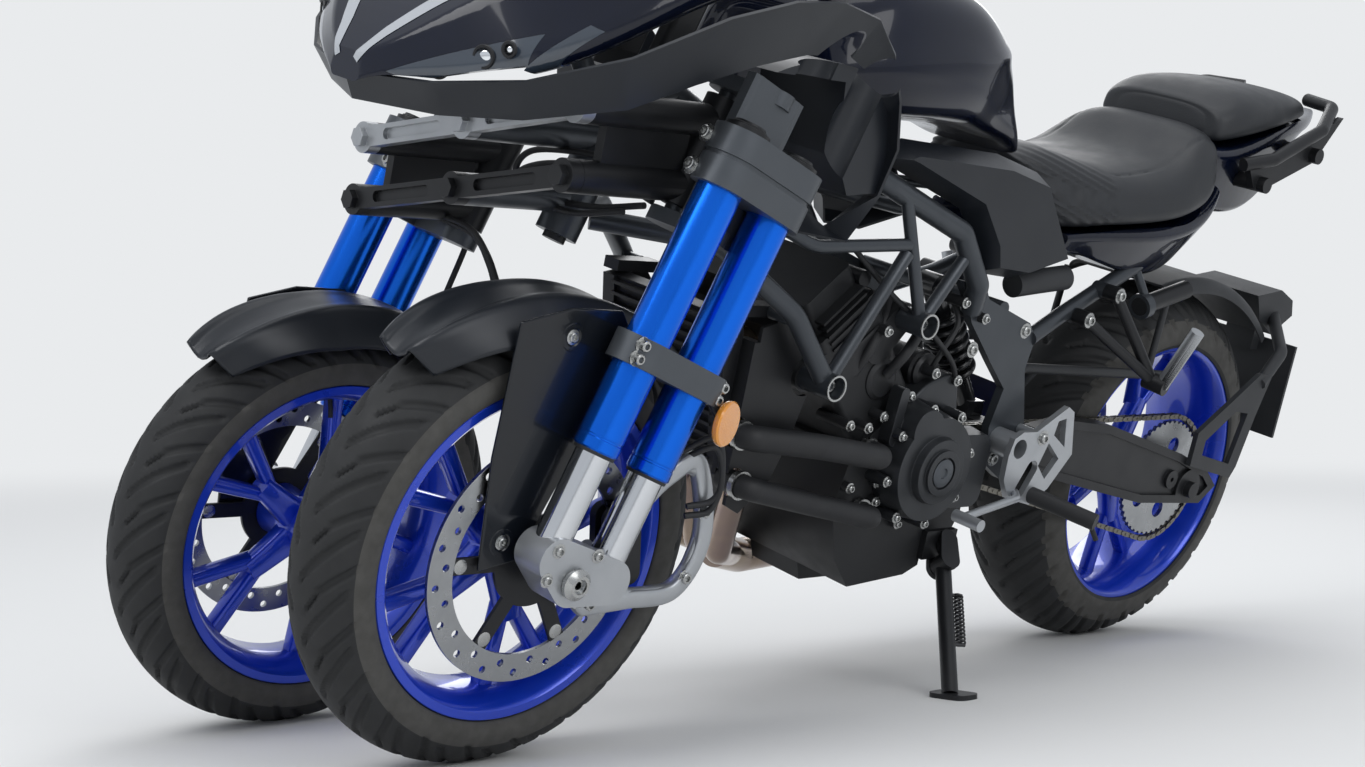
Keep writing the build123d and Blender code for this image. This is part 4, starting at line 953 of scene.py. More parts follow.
@dataclass
class Forks:
    """Twin-tube forks on each side, their brackets, brakes, hoses and mudguards."""

    tube_x: float = 115.0
    offsets: tuple = (-59.0, 34.0)
    outer: float = 27.0
    leg: float = 21.5
    guard_radius: float = 304.0
    guard_face_x: float = 78.0

    def build(self) -> None:
        """Dress both forks."""
        for side in Side:
            self.tubes(side)
            self.bracket(side)
            self.mudguard(side)
            self.hoses(side)
            self.caliper_arm(side)
        log.info("forks")

    def along(self, side: Side, offset: float, s: float) -> np.ndarray:
        """Find a point on a fork tube's axis.

        Args:
            side: The side of the fork.
            offset: The tube's place behind the kingpin.
            s: Distance up along the kingpin's direction.

        Returns:
            The point, upright, in mm.
        """
        return raked(self.tube_x, offset, s) * [side.value, 1, 1]

    def tubes(self, side: Side) -> None:
        """Turn the anodised outer tubes with their lips and the chromed legs with their seals.

        Args:
            side: The side of the fork.
        """
        name, upright = side.name.lower(), Upright[side.name]
        body = f"{name}_fork"
        o, l = self.outer, self.leg
        outer, legs, seals, caps = [], [], [], []
        for offset in self.offsets:
            low, high = self.along(side, offset, -372), self.along(side, offset, 30)
            axis, length = high - low, float(np.linalg.norm(high - low))
            foot = [(0, l + 0.6), (0, o - 2), (2, o), (14, o), (15, o - 0.8), (17, o - 0.8), (18, o)]
            head = [(length - 2, o), (length, o - 2), (length, 6), (60, 6), (60, l + 0.6)]
            outer.append(turned(foot + head, low, axis, 72))
            legs.append(turned([(-129, 0), (-129, l), (-2, l), (40, l), (40, 0)], low, axis, 72, False))
            seal = [(-4, l + 0.1), (-4, l + 3), (-2, o - 2), (-0.1, o - 2), (-0.1, l + 0.1)]
            seals.append(turned(seal, low, axis, 72))
            collar = [(-12, o - 1), (-12, o + 0.4), (0.5, o + 0.4), (1.5, o - 5), (3, o - 5), (4, o - 7)]
            cap = [*collar, (6.5, o - 8), (6.5, 8), (4, 7), (4, 0)]
            caps.append(turned(np.array(cap) + [length, 0], low, axis, 60, False))
        tube = make_piece(
            f"{name}_outer_tubes", merged(outer), upright, body, "blue_anodised_aluminium", smooth_deg=35
        )
        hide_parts(f"{name}_fork_tubes")
        make_piece(f"{name}_chromed_legs", merged(legs), upright, body, "chromed_steel")
        make_piece(f"{name}_dust_seals", merged(seals), upright, body, "hose_rubber")
        make_piece(f"{name}_tube_caps", merged(caps), upright, body, "black_satin_aluminium", smooth_deg=30)

    def bracket(self, side: Side) -> None:
        """Soften brackets and calipers, and add their pinch bolts, nut and reflector.

        Args:
            side: The side of the fork.
        """
        name, upright = side.name.lower(), Upright[side.name]
        body, sign = f"{name}_fork", side.value
        softened(f"{name}_fork_clamps", 2.0, "grey_cast_clamp")
        lower = softened(f"{name}_lower_fork", 1.6, "silver_painted_casting", "chromed_steel")
        axis = raked(0, 0, 1) - raked(0, 0, 0)

        def on_leg(x: np.ndarray, y: np.ndarray, z: np.ndarray) -> np.ndarray:
            """Faces within the legs' radius and above the axle bracket."""
            hit = np.zeros(len(x), bool)
            for offset in self.offsets:
                delta = np.stack([x, y, z], -1) - self.along(side, offset, -501)
                run = delta @ axis
                gap = np.linalg.norm(delta - run[:, None] * axis, axis=1)
                hit |= (gap < self.leg + 0.8) & (run > 8)
            return hit

        painted_where(lower, upright, on_leg, 1)
        softened(f"{name}_front_caliper", 2.5, "black_satin_aluminium")
        faces = [raked(137, offset, s) * [sign, 1, 1] for s in (-259, -243) for offset in (-85, 60)]
        screw_heads(f"{name}_clamp_screws", faces, (0.8 * sign, 0, 0), upright, body, 6.5, 9)
        tops = [raked(90, -92, s) * [sign, 1, 1] for s in (-34, 6)]
        forwards = (0, -math.cos(CASTER), math.sin(CASTER))
        screw_heads(f"{name}_bracket_screws", tops, forwards, upright, body, 7.5, 7)
        nut = [(0, 5), (0, 17), (4, 19), (8, 19), (10, 16), (14, 13), (14, 9), (9, 8.6), (9, 5)]
        shape = turned(nut, FRONT_AXLE + [sign * 140.2, 0, 0], sign * X_AXIS, 40)
        make_piece(f"{name}_axle_nut", shape, upright, body, "zinc_plated_steel", smooth_deg=30)
        lens = [(0, 0), (0, 26), (3, 28), (7, 28), (9, 26), (10, 0)]
        shape = turned(lens, (142.0 * sign, -572, 461), np.array([sign, 0.35, 0]), 48, False)
        make_piece(f"{name}_side_reflector", shape, upright, body, "amber_reflector", smooth_deg=35)
        stay = tube_points(np.array([raked(138, 44, -256) * [sign, 1, 1], [140.0 * sign, -574, 463]]), 6, 12)
        make_piece(f"{name}_reflector_stay", stay, upright, body, "black_satin_aluminium")

    def mudguard(self, side: Side) -> None:
        """Shape the guard: an arc over the tyre with a raised ridge, flared rims and a pointed nose.

        Each point stands at the guard's radius, plus a bell-shaped ridge on each side, less a dish
        in the middle and a shoulder that falls to the rim; the nose narrows and is drawn forwards.

        Args:
            side: The side of the fork.
        """
        name, upright = side.name.lower(), Upright[side.name]
        body, sign = f"{name}_fork", side.value
        turn = np.radians(np.linspace(-38, 40, 90))[:, None]
        v = np.linspace(-1, 1, 49)[None]
        nose = np.clip((-turn - np.radians(8)) / np.radians(30), 0, 1)
        width = 69.5 * (1 - 0.42 * nose**3)
        fold = 0.42 + 0.2 * nose
        ridge = 9.0 * np.exp(-(((np.abs(v) - fold) / 0.14) ** 2)) * (0.35 + 0.65 * nose)
        dish = 7.0 * np.exp(-((v / 0.3) ** 2)) * nose
        shoulder = 40 * np.clip((np.abs(v) - fold - 0.08) / 0.5, 0, 1) ** 1.3 + 5 * v**2
        reach = self.guard_radius + ridge - dish - shoulder - 6 * nose**4
        pull = nose**2 * 16 * (1 - v**2)
        x = width * np.sign(v) * np.abs(v) ** 0.85 * sign
        y = reach * np.sin(turn) - pull * np.cos(turn)
        z = reach * np.cos(turn) + pull * np.sin(turn) * 0.4
        shape = ((np.stack([x, y, z], -1) + FRONT_AXLE).reshape(-1, 3), grid_faces(90, 49))
        guard = make_piece(
            f"{name}_mudguard_shell", shape, upright, body, "matt_graphite_paint", closed=False
        )
        thickened(guard, 2.6, float(sign))
        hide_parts(f"{name}_mudguard")
        outline = [(-90, 286), (-20, 303), (55, 301), (95, 246), (55, 156), (20, 126), (-35, 6), (-87, -4)]
        flat = np.array([*outline, (-96, 130)], float) + FRONT_AXLE[1:]
        inner = np.column_stack([np.full(len(flat), self.guard_face_x - 5.5), flat])
        shape = prism(inner * [sign, 1, 1], (inner + [5.5, 0, 0]) * [sign, 1, 1])
        plate = make_piece(f"{name}_fork_guard", shape, upright, body, "gloss_black_plastic", smooth_deg=30)
        bevelled(plate, 2.2, 3)
        seats = [(sign * self.guard_face_x, y, z) for y, z in ((-14, 270), (60, 262), (-62, 30))]
        places = [FRONT_AXLE + seat for seat in seats]
        screw_heads(f"{name}_guard_screws", places, (sign, 0, 0), upright, body, 6, 4)
        cup = [(-0.5, 9), (-0.5, 17), (1.2, 15.5), (1.2, 11)]
        cups = merged([turned(cup, place, sign * X_AXIS, 36) for place in (places[0], places[2])])
        make_piece(f"{name}_guard_cups", cups, upright, body, "gloss_black_plastic", smooth_deg=30)

    def caliper_arm(self, side: Side) -> None:
        """Cast the flat arm that holds the caliper: a squarish section carried round its loop.

        Args:
            side: The side of the fork.
        """
        name, upright = side.name.lower(), Upright[side.name]
        body, sign = f"{name}_fork", side.value
        loop = [(60, -50), (127, -47), (205, -40), (236, 28), (203, 120), (160, 108), (118, 70), (66, 8)]
        path = resample(np.array([*loop, (50, -30), loop[0]], float), 91)[:-1]
        run = np.roll(path, -1, 0) - np.roll(path, 1, 0)
        run /= np.linalg.norm(run, axis=1, keepdims=True)
        square = np.stack([run[:, 1], -run[:, 0]], -1)
        c, s = squared(np.linspace(0, 2 * np.pi, 20, endpoint=False), 0.5)
        spot = path[:, None] + 11.5 * c[None, :, None] * square[:, None]
        depth = np.broadcast_to(((95 + 9.5 * s) * sign)[None, :, None], (*spot.shape[:2], 1))
        grid = np.concatenate([depth, spot + FRONT_AXLE[1:]], -1).reshape(-1, 3)
        arm = (grid, grid_faces(90, 20, True, True))
        make_piece(f"{name}_caliper_arm", arm, upright, body, "silver_painted_casting")
        spots = [FRONT_AXLE + (102 * sign, y, z) for y, z in ((48, -40), (66, -46), (215, -24), (226, 60))]
        screw_heads(f"{name}_arm_screws", spots, (sign, 0, 0), upright, body, 7, 6)
        pinch = [FRONT_AXLE + (140 * sign, y, z) for y, z in ((-40, 6), (-30, 40), (30, 30))]
        screw_heads(f"{name}_pinch_screws", pinch, (sign, 0, 0), upright, body, 6, 5)
        for index, lift in enumerate((0, 12)):
            front = [(92, -585, 395 + lift), (112, -545, 420 + lift), (118, -528, 380)]
            points = np.array([*front, (112, -532, 340 + lift), (100, -560, 330 + lift)], float)
            hose = f"{name}_caliper_hose_{index}"
            smooth_tube(hose, points * [sign, 1, 1], 4.0, upright, body, "hose_rubber", 40, 12)

    def hoses(self, side: Side) -> None:
        """Run the brake hose down the fork from its upper bracket to the caliper.

        Args:
            side: The side of the fork.
        """
        name, upright = side.name.lower(), Upright[side.name]
        rows = ((60, 20, -10), (60, 60, -60), (64, 74, -160), (70, 84, -260), (78, 100, -340))
        path = np.array([*(raked(*row) for row in rows), (76, -660, 300), (76, -640, 298)])
        path = path * [side.value, 1, 1]
        smooth_tube(f"{name}_brake_hose", path, 4.2, upright, f"{name}_fork", "hose_rubber", 70, 12)


@dataclass
class Bodywork:
    """Nose, cowls, screen, tank, side panels, seats and tail."""

    lamps_behind_y: float = -938.3

    def build(self) -> None:
        """Dress the bodywork."""
        softened("nose_fairing", 3.0, "ink_blue_gloss_paint", "silver_gloss_paint")
        softened("headlights", 1.5, "dark_lamp_glass")
        softened("windscreen", 1.0, "smoked_screen")
        softened("side_cowls", 2.0, "matt_graphite_paint")
        softened("side_panels", 3.0, "matt_graphite_paint")
        softened("tail_cowl", 4.0, "ink_blue_gloss_paint")
        softened("grab_rails", 2.0, "black_satin_aluminium")
        self.lamps()
        self.stripes()
        self.tank()
        self.seats()
        log.info("bodywork")

    def lamps(self) -> None:
        """Set projector rings and domed eyes into both lamps, facing forwards."""
        rings, eyes = [], []
        t = np.radians(np.linspace(0, 90, 8))
        for sign in (1, -1):
            facing = np.array([0.45 * sign, -1.0, -0.1])
            for x, z, r in ((112, 868, 14), (160, 888, 12), (186, 902, 8)):
                spot = (x * sign, self.lamps_behind_y + 0.47 * (x - 30) + 8, z)
                ring = [(0, r), (4, r + 2), (6, r + 1), (6, r - 1.5), (1, r - 3)]
                rings.append(turned(ring, spot, facing, 36))
                dome = np.stack([4 * np.sin(t) + 1, (r - 3) * np.cos(t)], -1)
                eyes.append(turned(np.vstack([[(-2, 0), (-2, r - 3)], dome]), spot, facing, 32, False))
        fitted("lamp_rings", merged(rings), "black_satin_aluminium")
        fitted("lamp_eyes", merged(eyes), "bright_reflector")

    def pressed_band(
        self, name: str, path: list, halves: tuple, side: Side, count: int, finish: str
    ) -> None:
        """Press a band onto the nose from the front: a flat ribbon along a path of x and z.

        Args:
            name: The piece's name.
            path: Corner points of the path in mm, across and up.
            halves: Half widths at its two ends in mm.
            side: The side that it lies on.
            count: Steps between corners.
            finish: Name of its material.
        """
        corners = np.asarray(path, float)
        place = np.linspace(0, len(corners) - 1, (len(corners) - 1) * count + 1)
        line = np.stack([np.interp(place, np.arange(len(corners)), corners[:, k]) for k in (0, 1)], -1)
        run = np.gradient(line, axis=0)
        run /= np.linalg.norm(run, axis=1, keepdims=True) + 1e-9
        square = np.stack([-run[:, 1], run[:, 0]], -1)
        half = np.linspace(halves[0], halves[1], len(line))[:, None, None]
        flat = line[:, None] + square[:, None] * half * np.linspace(-1, 1, 7)[None, :, None]
        ahead = np.full(flat.shape[:2], -1010.0)
        grid = np.stack([flat[..., 0] * side.value, ahead, flat[..., 1]], -1).reshape(-1, 3)
        shape = (grid, grid_faces(len(line), 7))
        band = make_piece(name, shape, Upright.BODY, "chassis", finish, closed=False)
        press = band.modifiers.new("press", "SHRINKWRAP")
        press.target = bpy.data.objects["nose_fairing_dressed"]
        press.wrap_method = "PROJECT"
        press.use_project_y = True
        press.use_project_x = press.use_project_z = False
        press.use_positive_direction = True
        press.use_negative_direction = False
        press.offset = 0.0008

    def stripes(self) -> None:
        """Lay two silver bands up the nose in a V, drawn flat and pressed onto the panel behind."""
        for side in Side:
            path = [(18, 852), (40, 890), (78, 940), (120, 985), (150, 1022)]
            self.pressed_band(f"{side.name.lower()}_nose_band", path, (5, 15), side, 16, "silver_gloss_paint")

    def tank(self) -> None:
        """Skin the tank smoothly through its sections, pinched at the knees."""
        rows = [
            (-306, 96, 66, 880, 985),
            (-292, 150, 112, 866, 1010),
            (-190, 190, 150, 866, 1065),
            (-20, 178, 150, 866, 1060),
            (110, 142, 106, 852, 985),
            (172, 108, 75, 838, 885),
            (178, 90, 60, 845, 872),
        ]

        def pinch(points: np.ndarray) -> np.ndarray:
            """Draw the sides in where the knees go, behind the middle."""
            x, y, z = points[..., 0], points[..., 1], points[..., 2]
            dent = 14 * np.exp(-(((y - 70) / 80) ** 2)) * np.exp(-(((z - 910) / 45) ** 2))
            crease = 5 * np.exp(-(((z - 975 - 0.15 * y) / 14) ** 2))
            return np.stack([x - np.sign(x) * (dent - crease * (np.abs(x) > 60)), y, z], -1)

        piece = fitted("tank_skin", skin_points(rows, 90, 96, 3.6, pinch), "ink_blue_gloss_paint")
        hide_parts("fuel_tank")

    def seats(self) -> None:
        """Skin both seats, ribbed at the front and seamed along their sides."""
        rider = [
            (194, 60, 50, 806, 838),
            (204, 100, 84, 796, 846),
            (270, 150, 105, 739, 856),
            (400, 172, 135, 748, 840),
            (520, 180, 150, 762, 860),
            (600, 172, 138, 778, 914),
            (638, 152, 128, 802, 920),
            (645, 130, 108, 820, 905),
        ]

        def ribs(points: np.ndarray) -> np.ndarray:
            """Press ribs into the front half and a seam round the upper edge."""
            x, y, z = points[..., 0], points[..., 1], points[..., 2]
            wave = 1.6 * np.cos(2 * np.pi * (z + 0.35 * y) / 11) * (y < 380) * (np.abs(x) > 60)
            seam = -2.2 * np.exp(-(((np.abs(x) - 118) / 2.5) ** 2)) * (z > 830)
            return np.stack([x + np.sign(x) * wave, y, z + seam], -1)

        pillion = [
            (653, 90, 80, 905, 950),
            (660, 125, 114, 893, 962),
            (720, 140, 122, 903, 988),
            (830, 128, 104, 927, 998),
            (935, 100, 80, 953, 994),
            (944, 80, 60, 960, 984),
        ]
        for node, shape in (
            ("rider_seat", skin_points(rider, 160, 120, 3.4, ribs)),
            ("pillion_seat", skin_points(pillion, 90, 96, 3.0)),
        ):
            cover = fitted(f"{node}_cover", shape, "grained_vinyl")
            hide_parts(node)


@dataclass
class Chassis:
    """Frame, lean linkage, swingarm, stand, footrests and their fasteners."""

    stand_pivot: tuple = (184.0, 112.0, 238.0)
    stand_foot: tuple = (315.0, 23.0, 96.0)
    spring_turns: int = 13

    def build(self) -> None:
        """Dress the running gear that carries everything."""
        softened("main_frame", 1.5, "grey_powder_coat")
        softened("lean_knuckles", 2.0, "black_satin_aluminium")
        arms = softened("lean_arms", 2.0, "silver_painted_casting", "black_satin_aluminium")
        # Faces below a plane through the knuckle take the black finish: painted shade on the lower arm, which
        # lies in the shadow under the nose
        painted_where(arms, Upright.BODY, lambda x, y, z: z - 0.302 * x < KNUCKLE[2], 1)
        softened("swingarm", 2.5, "black_satin_aluminium")
        softened("rear_caliper", 2.5, "black_satin_aluminium")
        rests = softened("footrests", 1.2, "silver_painted_casting", "hose_rubber", "black_satin_aluminium")
        painted_where(rests, Upright.BODY, lambda x, y, z: (np.abs(x) > 215) & (y > 250) & (y < 330), 1)
        painted_where(
            rests,
            Upright.BODY,
            lambda x, y, z: (y > 335) & ~((np.abs(x) > 196) & (y > 470) & (z > 560)),
            2,
        )
        softened("side_stand", 1.5, "black_satin_aluminium")
        softened("stand_bracket", 1.5, "black_satin_aluminium")
        self.stand_spring()
        softened("handlebar", 1.5, "black_satin_aluminium")
        softened("plate_carrier", 1.5, "grained_black_plastic")
        softened("rear_mudguard", 1.5, "grained_black_plastic")
        shock = softened("rear_shock", 1.2, "black_spring_enamel", "black_satin_aluminium")
        painted_where(shock, Upright.BODY, lambda x, y, z: x > 60, 1)
        self.brake_hoses()
        for name, places, radius, height in (
            ("mount_bolts", [(188, -234, 519), (180, -61, 604)], 9, 8),
            ("pillion_bolts", [(170, 349, 612), (170, 414, 652)], 8, 6),
            ("rest_bolts", [(202, 258, 436)], 8, 6),
            ("plate_bolts", [(156, 70, 640), (156, 100, 560), (156, 215, 590), (156, 210, 390)], 8, 5),
        ):
            screw_heads(name, places, (1, 0, 0), Upright.BODY, "chassis", radius, height)
        log.info("chassis")

    def brake_hoses(self) -> None:
        """Loop the brake hoses and leads between the forks, under the nose."""
        high = [(204, -600, 754), (166, -600, 775), (71, -604, 778), (-40, -606, 762), (-79, -604, 736)]
        inner = [(190, -612, 748), (100, -616, 764), (0, -618, 752), (-58, -616, 728), (-40, -610, 706)]
        lead = [(-250, -640, 700), (-290, -636, 672), (-270, -630, 645), (-199, -622, 640)]
        twin = [(-240, -634, 704), (-284, -630, 662), (-250, -624, 640), (-190, -616, 634)]
        loops = {
            "left_loop": [*high, (-71, -600, 709), (-19, -596, 705), (69, -592, 714), (150, -586, 735)],
            "inner_loop": [*inner, (40, -606, 700), (130, -600, 722)],
            "right_lead": [*lead, (-132, -620, 637), (-87, -620, 613), (-60, -616, 580)],
            "right_lead_twin": [*twin, (-126, -614, 628), (-90, -612, 600), (-70, -610, 572)],
        }
        for name, path in loops.items():
            smooth_tube(f"brake_{name}", path, 4.2, Upright.BODY, "chassis", "hose_rubber", 80, 12)

    def stand_spring(self) -> None:
        """Wind the stand's return spring beside its leg, with a post at each end.

        The wire is a helix about the line from the upper post to the lower one.
        """
        pivot, foot = np.array(self.stand_pivot), np.array(self.stand_foot)
        beside = np.array([9.0, 20, 0])
        upper, lower = pivot + 0.24 * (foot - pivot), pivot + 0.62 * (foot - pivot)
        run = (lower - upper) / np.linalg.norm(lower - upper)
        across = np.cross(run, [0, 0, 1.0])
        across /= np.linalg.norm(across)
        over = np.cross(across, run)
        turn = np.linspace(0, self.spring_turns * 2 * np.pi, 260)[:, None]
        middle = upper + beside + turn / turn[-1] * (lower - upper)
        coil = middle + 6.5 * (np.cos(turn) * across + np.sin(turn) * over)
        posts = [tube_points(np.array([end, end + 1.3 * beside]), 3.0, 12) for end in (upper, lower)]
        shape = merged([tube_points(coil, 1.7, 10), *posts])
        make_piece("stand_spring", shape, Upright.BODY, "side_stand", "black_spring_enamel")


@dataclass
class PowerUnit:
    """Engine, covers, radiator, hoses, exhaust and final drive."""

    sprocket: float = 110.0
    pinion: float = 40.0
    pinion_place: tuple = (190.0, 385.0)
    links: int = 118
    cover_ring: float = 88.0

    def build(self) -> None:
        """Dress the power unit."""
        softened("engine", 2.0, "black_engine_paint")
        softened("engine_covers", 2.5, "graphite_cover_paint")
        softened("radiator", 0.6, "black_satin_aluminium")
        softened("coolant_pipes", 1.0, "hose_rubber")
        softened("exhaust", 1.0, "heat_tinted_stainless")
        angles = np.radians(np.arange(0, 360, 45) + 12)
        ring = [(20 + self.cover_ring * math.cos(a), 394 + self.cover_ring * math.sin(a)) for a in angles]
        boss = [(-42, 0), (-42, 9), (-6, 8), (-6, 0)]
        bosses = [turned(boss, (196.0, y, z), X_AXIS, 20, False) for y, z in ring]
        fitted("cover_screw_bosses", merged(bosses), "graphite_cover_paint")
        heads = [(189.5, y, z) for y, z in ring]
        screw_heads("cover_screws", heads, (1, 0, 0), Upright.BODY, "chassis", 5.5, 5)
        band = [(-4, 17), (-4, 20), (4, 20), (4, 17)]
        places = ((160, -345, 442), (160, -86, 412), (160, -330, 372), (162, -76, 322))
        clamps = [turned(band, place, X_AXIS, 40) for place in places]
        fitted("hose_clamps", merged(clamps), "zinc_plated_steel")
        self.castings()
        self.fittings()
        self.chain()
        log.info("power unit")

    def castings(self) -> None:
        """Add the castings on the engine's left flank: bosses with screws, pump, starter and its cover."""
        spots = [(17, 527), (70, 516), (-26, 493), (-75, 464), (-103, 448), (-142, 452), (-19, 430)]
        spots += [(-57, 366), (-113, 360), (-52, 337), (8, 301), (-106, 588), (48, 632), (101, 609)]
        boss = [(-60, 0), (-60, 8), (-2, 7.5), (0, 6.5), (0, 0)]
        places = [(166.0, y, z) for y, z in spots]
        parts = [turned(boss, place, X_AXIS, 18, False) for place in places]
        fitted("case_bosses", merged(parts), "black_engine_paint", 35)
        screw_heads("case_screws", places, (1, 0, 0), Upright.BODY, "chassis", 5.5, 5)
        pump = [(-70, 0), (-70, 44), (-14, 42), (-10, 38), (-6, 38), (-2, 32), (6, 30), (10, 24), (10, 0)]
        fitted("water_pump", turned(pump, (138, -72, 512), X_AXIS, 56, False), "black_engine_paint", 30)
        motor = [(-60, 0), (-60, 30), (0, 30), (4, 27), (8, 27), (12, 22), (12, 0)]
        fitted("starter_motor", turned(motor, (132, 26, 522), X_AXIS, 48, False), "black_satin_aluminium", 30)
        outline = [(-8, 492), (15, 511), (61, 526), (84, 504), (98, 452), (76, 454), (52, 472), (25, 480)]
        inner = np.array([(118.0, y, z) for y, z in [*outline, (-5, 475)]])
        cover = fitted("starter_cover", prism(inner, inner + [42, 0, 0]), "graphite_cover_paint", 30)
        bevelled(cover, 5.0, 3)
        washer = [(-1, 15.4), (-1, 18.2), (1, 18.2), (1, 15.4)]
        rings = [turned(washer, place, X_AXIS, 48) for place in ((206.6, -234, 519), (198.6, -61, 604))]
        fitted("stub_rims", merged(rings), "zinc_plated_steel")
        plug = [(-2, 0), (-2, 21), (2, 21), (3, 19), (3, 8), (1, 7), (1, 0)]
        fitted("timing_plug", turned(plug, (215, 20, 394), X_AXIS, 40, False), "grey_cast_clamp", 30)

    def fittings(self) -> None:
        """Add the coil caps, the preload canister, and the cables and hoses of the left flank."""
        caps = []
        for index in range(5):
            y, z = -150 + 20 * index, 655 - 26 * index
            caps.append(tube_points(np.array([(100, y, z), (142, y, z)], float), 12, 16))
        fitted("coil_caps", merged(caps), "black_satin_aluminium")
        can = resample(np.array([(125, 199, 652), (125, 262, 660), (125, 322, 667)], float), 12)
        fitted("preload_canister", tube_points(can, 19, 36), "grained_black_plastic")
        clutch = [(140, -190, 700), (158, -110, 640), (166, -20, 590), (168, 40, 548), (160, 70, 520)]
        cables = {
            "clutch_cable": clutch,
            "starter_lead": [(120, 60, 640), (150, 60, 600), (158, 30, 560), (150, 24, 530)],
            "breather_hose": [(110, -60, 640), (140, -90, 600), (152, -120, 560), (140, -130, 520)],
            "pump_hose": [(150, -72, 520), (168, -60, 560), (150, -20, 590), (110, 10, 600)],
        }
        for name, path in cables.items():
            radius = 8.0 if name.endswith("hose") else 4.0
            smooth_tube(name, path, radius, Upright.BODY, "chassis", "hose_rubber", 50, 16)

    def chain_line(self) -> tuple[np.ndarray, np.ndarray, float]:
        """Space the links along the belt line round both sprockets: run, big arc, run, small arc.

        Returns:
            Y and Z of each link in mm, its angle, and the pitch in mm.
        """
        a, b = np.array(self.pinion_place), REAR_AXLE[1:]
        run = b - a
        distance = float(np.linalg.norm(run))
        heading = math.atan2(run[1], run[0])
        lift = math.asin((self.sprocket - self.pinion) / distance)
        straight = distance * math.cos(lift)
        big = (math.pi + 2 * lift) * self.sprocket
        total = 2 * straight + big + (math.pi - 2 * lift) * self.pinion
        s = np.arange(self.links) / self.links * total
        top, low = heading + math.pi / 2 + lift, heading - math.pi / 2 - lift
        up, down = (np.array([math.cos(angle), math.sin(angle)]) for angle in (top, low))
        along, back = np.array([up[1], -up[0]]), np.array([down[1], -down[0]])
        upper = s < straight
        rear = (s >= straight) & (s < straight + big)
        lower = (s >= straight + big) & (s < 2 * straight + big)
        front = ~(upper | rear | lower)
        point, angle = np.zeros((self.links, 2)), np.zeros(self.links)
        point[upper] = a + up * self.pinion + along * s[upper, None]
        angle[upper] = top - math.pi / 2
        turn = top - (s[rear] - straight) / self.sprocket
        point[rear] = b + self.sprocket * np.stack([np.cos(turn), np.sin(turn)], -1)
        angle[rear] = turn - math.pi / 2
        point[lower] = b + down * self.sprocket + back * (s[lower] - straight - big)[:, None]
        angle[lower] = low - math.pi / 2
        turn = low - (s[front] - 2 * straight - big) / self.pinion
        point[front] = a + self.pinion * np.stack([np.cos(turn), np.sin(turn)], -1)
        angle[front] = turn - math.pi / 2
        return point, angle, total / self.links

    def chain(self) -> None:
        """Lay the links round the two sprockets: waisted plates on both sides and pins between."""
        point, angle, pitch = self.chain_line()
        turn = np.linspace(0, 2 * np.pi, 16, endpoint=False)
        c, s = np.cos(turn), np.sin(turn)
        plate = np.stack([np.sign(c) * pitch * 0.475 + 5.6 * c, (5.6 - 1.4 * (np.abs(c) < 0.5)) * s], -1)
        parts = []
        for index in range(self.links):
            ca, sa = math.cos(angle[index]), math.sin(angle[index])
            flat = plate @ np.array([[ca, sa], [-sa, ca]]) + point[index]
            inset = 0.0 if index % 2 else 2.2
            for low, high in ((98.4 + inset, 100.2 + inset), (107.8 - inset, 109.6 - inset)):
                ends = [np.column_stack([np.full(16, x), flat]) for x in (low, high)]
                parts.append(prism(*ends))
        pin = [(97.6, 0), (97.6, 2.4), (110.4, 2.4), (110.4, 0)]
        pins = [turned(pin, (0, y, z), X_AXIS, 8, False) for y, z in point]
        piece = fitted("drive_chain_links", merged(parts + pins), "oiled_chain_steel", 30)
        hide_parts("drive_chain")


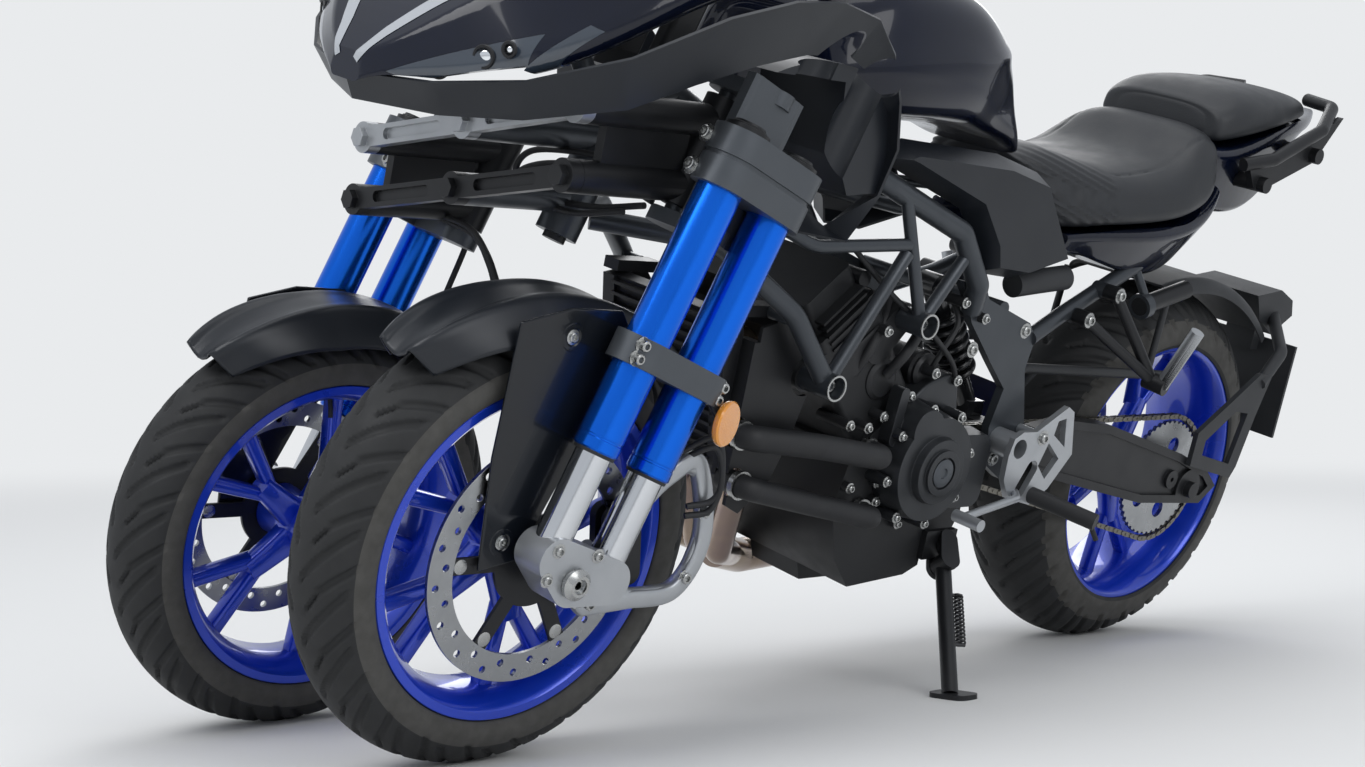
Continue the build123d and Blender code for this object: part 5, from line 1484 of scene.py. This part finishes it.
@dataclass
class Studio:
    """Floor, soft light and the camera at the photograph's angle."""

    place: tuple = (1.931, -2.295, 0.4575)
    yaw: float = math.radians(46.41)
    pitch: float = math.radians(0.21)
    roll: float = math.radians(-0.26)
    lens: float = 54.0
    floor_half: float = 30.0
    haze: str = "#e9ebed"

    def build(self) -> None:
        """Lay the floor, hang the lamps and set the camera."""
        scene = bpy.context.scene
        scene.view_settings.view_transform = "Standard"
        self.camera()
        self.floor()
        self.world()
        for name, place, target, size, power in (
            ("key_softbox", (0.2, -4.2, 4.4), (0, 0, 0.5), 3.2, 120),
            ("left_softbox", (4.6, -0.6, 2.6), (0, 0, 0.6), 2.6, 55),
            ("rear_softbox", (-3.0, 3.4, 3.2), (0, 0, 0.6), 2.6, 60),
            ("top_softbox", (0.4, 0.2, 4.8), (0, 0, 0), 3.0, 45),
        ):
            lamp = bpy.data.lights.new(name, "AREA")
            lamp.size = size
            lamp.energy = power
            rig = bpy.data.objects.new(name, lamp)
            rig.location = place
            rig.rotation_euler = (Vector(target) - Vector(place)).to_track_quat("-Z", "Y").to_euler()
            scene.collection.objects.link(rig)
        log.info("studio")

    def camera(self) -> None:
        """Stand the camera where the photographer stood."""
        flat = Vector((math.cos(self.yaw), math.sin(self.yaw), 0))
        level = Vector((-math.sin(self.yaw), math.cos(self.yaw), 0))
        look = level * math.cos(self.pitch) - Vector((0, 0, 1)) * math.sin(self.pitch)
        rise = flat.cross(look)
        right = flat * math.cos(self.roll) + rise * math.sin(self.roll)
        up = rise * math.cos(self.roll) - flat * math.sin(self.roll)
        data = bpy.data.cameras.new("camera")
        data.sensor_width = 36
        data.lens = self.lens
        camera = bpy.data.objects.new("camera", data)
        camera.matrix_world = Matrix((right, up, -look)).transposed().to_4x4()
        camera.location = self.place
        bpy.context.scene.collection.objects.link(camera)
        bpy.context.scene.camera = camera

    def floor(self) -> None:
        """Lay a wide pale floor that fades into the backdrop's colour far off, for the camera alone."""
        mesh = bpy.data.meshes.new("studio_floor")
        r = self.floor_half
        mesh.from_pydata([(-r, -r, 0), (r, -r, 0), (r, r, 0), (-r, r, 0)], [], [(0, 1, 2, 3)])
        floor = bpy.data.objects.new("studio_floor", mesh)
        bpy.context.scene.collection.objects.link(floor)
        material = bpy.data.materials.new("pale_floor")
        material.use_nodes = True
        tree = material.node_tree
        shader = tree.nodes["Principled BSDF"]
        shader.inputs["Base Color"].default_value = linear("#dededd")
        shader.inputs["Roughness"].default_value = 0.85
        coords = add_node(tree, "ShaderNodeTexCoord")
        reach = add_node(tree, "ShaderNodeVectorMath", {0: coords.outputs["Object"]}, operation="LENGTH")
        limits = {"Value": reach.outputs["Value"], "From Min": 1.5, "From Max": 9.0}
        fade = add_node(tree, "ShaderNodeMapRange", limits, interpolation_type="SMOOTHERSTEP")
        ray = add_node(tree, "ShaderNodeLightPath")
        both = {0: fade.outputs[0], 1: ray.outputs["Is Camera Ray"]}
        shown = add_node(tree, "ShaderNodeMath", both, operation="MULTIPLY")
        haze = add_node(tree, "ShaderNodeEmission", {"Color": linear(self.haze), "Strength": 1.0})
        mixed = add_node(
            tree, "ShaderNodeMixShader", {0: shown.outputs[0], 1: shader.outputs[0], 2: haze.outputs[0]}
        )
        tree.links.new(mixed.outputs[0], tree.nodes["Material Output"].inputs["Surface"])
        mesh.materials.append(material)

    def world(self) -> None:
        """Plain fill light, with a pale backdrop for what the camera and glass see."""
        world = bpy.data.worlds.new("studio")
        bpy.context.scene.world = world
        world.use_nodes = True
        tree = world.node_tree
        tree.nodes.clear()
        ray = add_node(tree, "ShaderNodeLightPath")
        rays = {0: ray.outputs["Is Camera Ray"], 1: ray.outputs["Is Transmission Ray"]}
        seen = add_node(tree, "ShaderNodeMath", rays, operation="MAXIMUM")
        fill = add_node(tree, "ShaderNodeBackground", {"Color": linear("#e4e8ee"), "Strength": 0.8})
        shown = add_node(tree, "ShaderNodeBackground", {"Color": linear(self.haze), "Strength": 1.0})
        mixed = add_node(
            tree, "ShaderNodeMixShader", {0: seen.outputs[0], 1: fill.outputs[0], 2: shown.outputs[0]}
        )
        add_node(tree, "ShaderNodeOutputWorld", {"Surface": mixed.outputs[0]})


def finish_remaining() -> None:
    """Give any CAD node that still shows a plain finish of its own kind."""
    for node in nodes.values():
        if not node.hide_render and not any(m and m.name in paint.materials for m in node.data.materials):
            paint.coat(node, "black_satin_aluminium")


def main() -> None:
    """Build every sub-assembly."""
    logging.basicConfig(level=logging.INFO, format="%(name)s: %(message)s")
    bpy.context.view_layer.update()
    Studio().build()
    Wheels().build()
    Forks().build()
    Chassis().build()
    PowerUnit().build()
    Bodywork().build()
    finish_remaining()


if __name__ == "__main__":
    main()
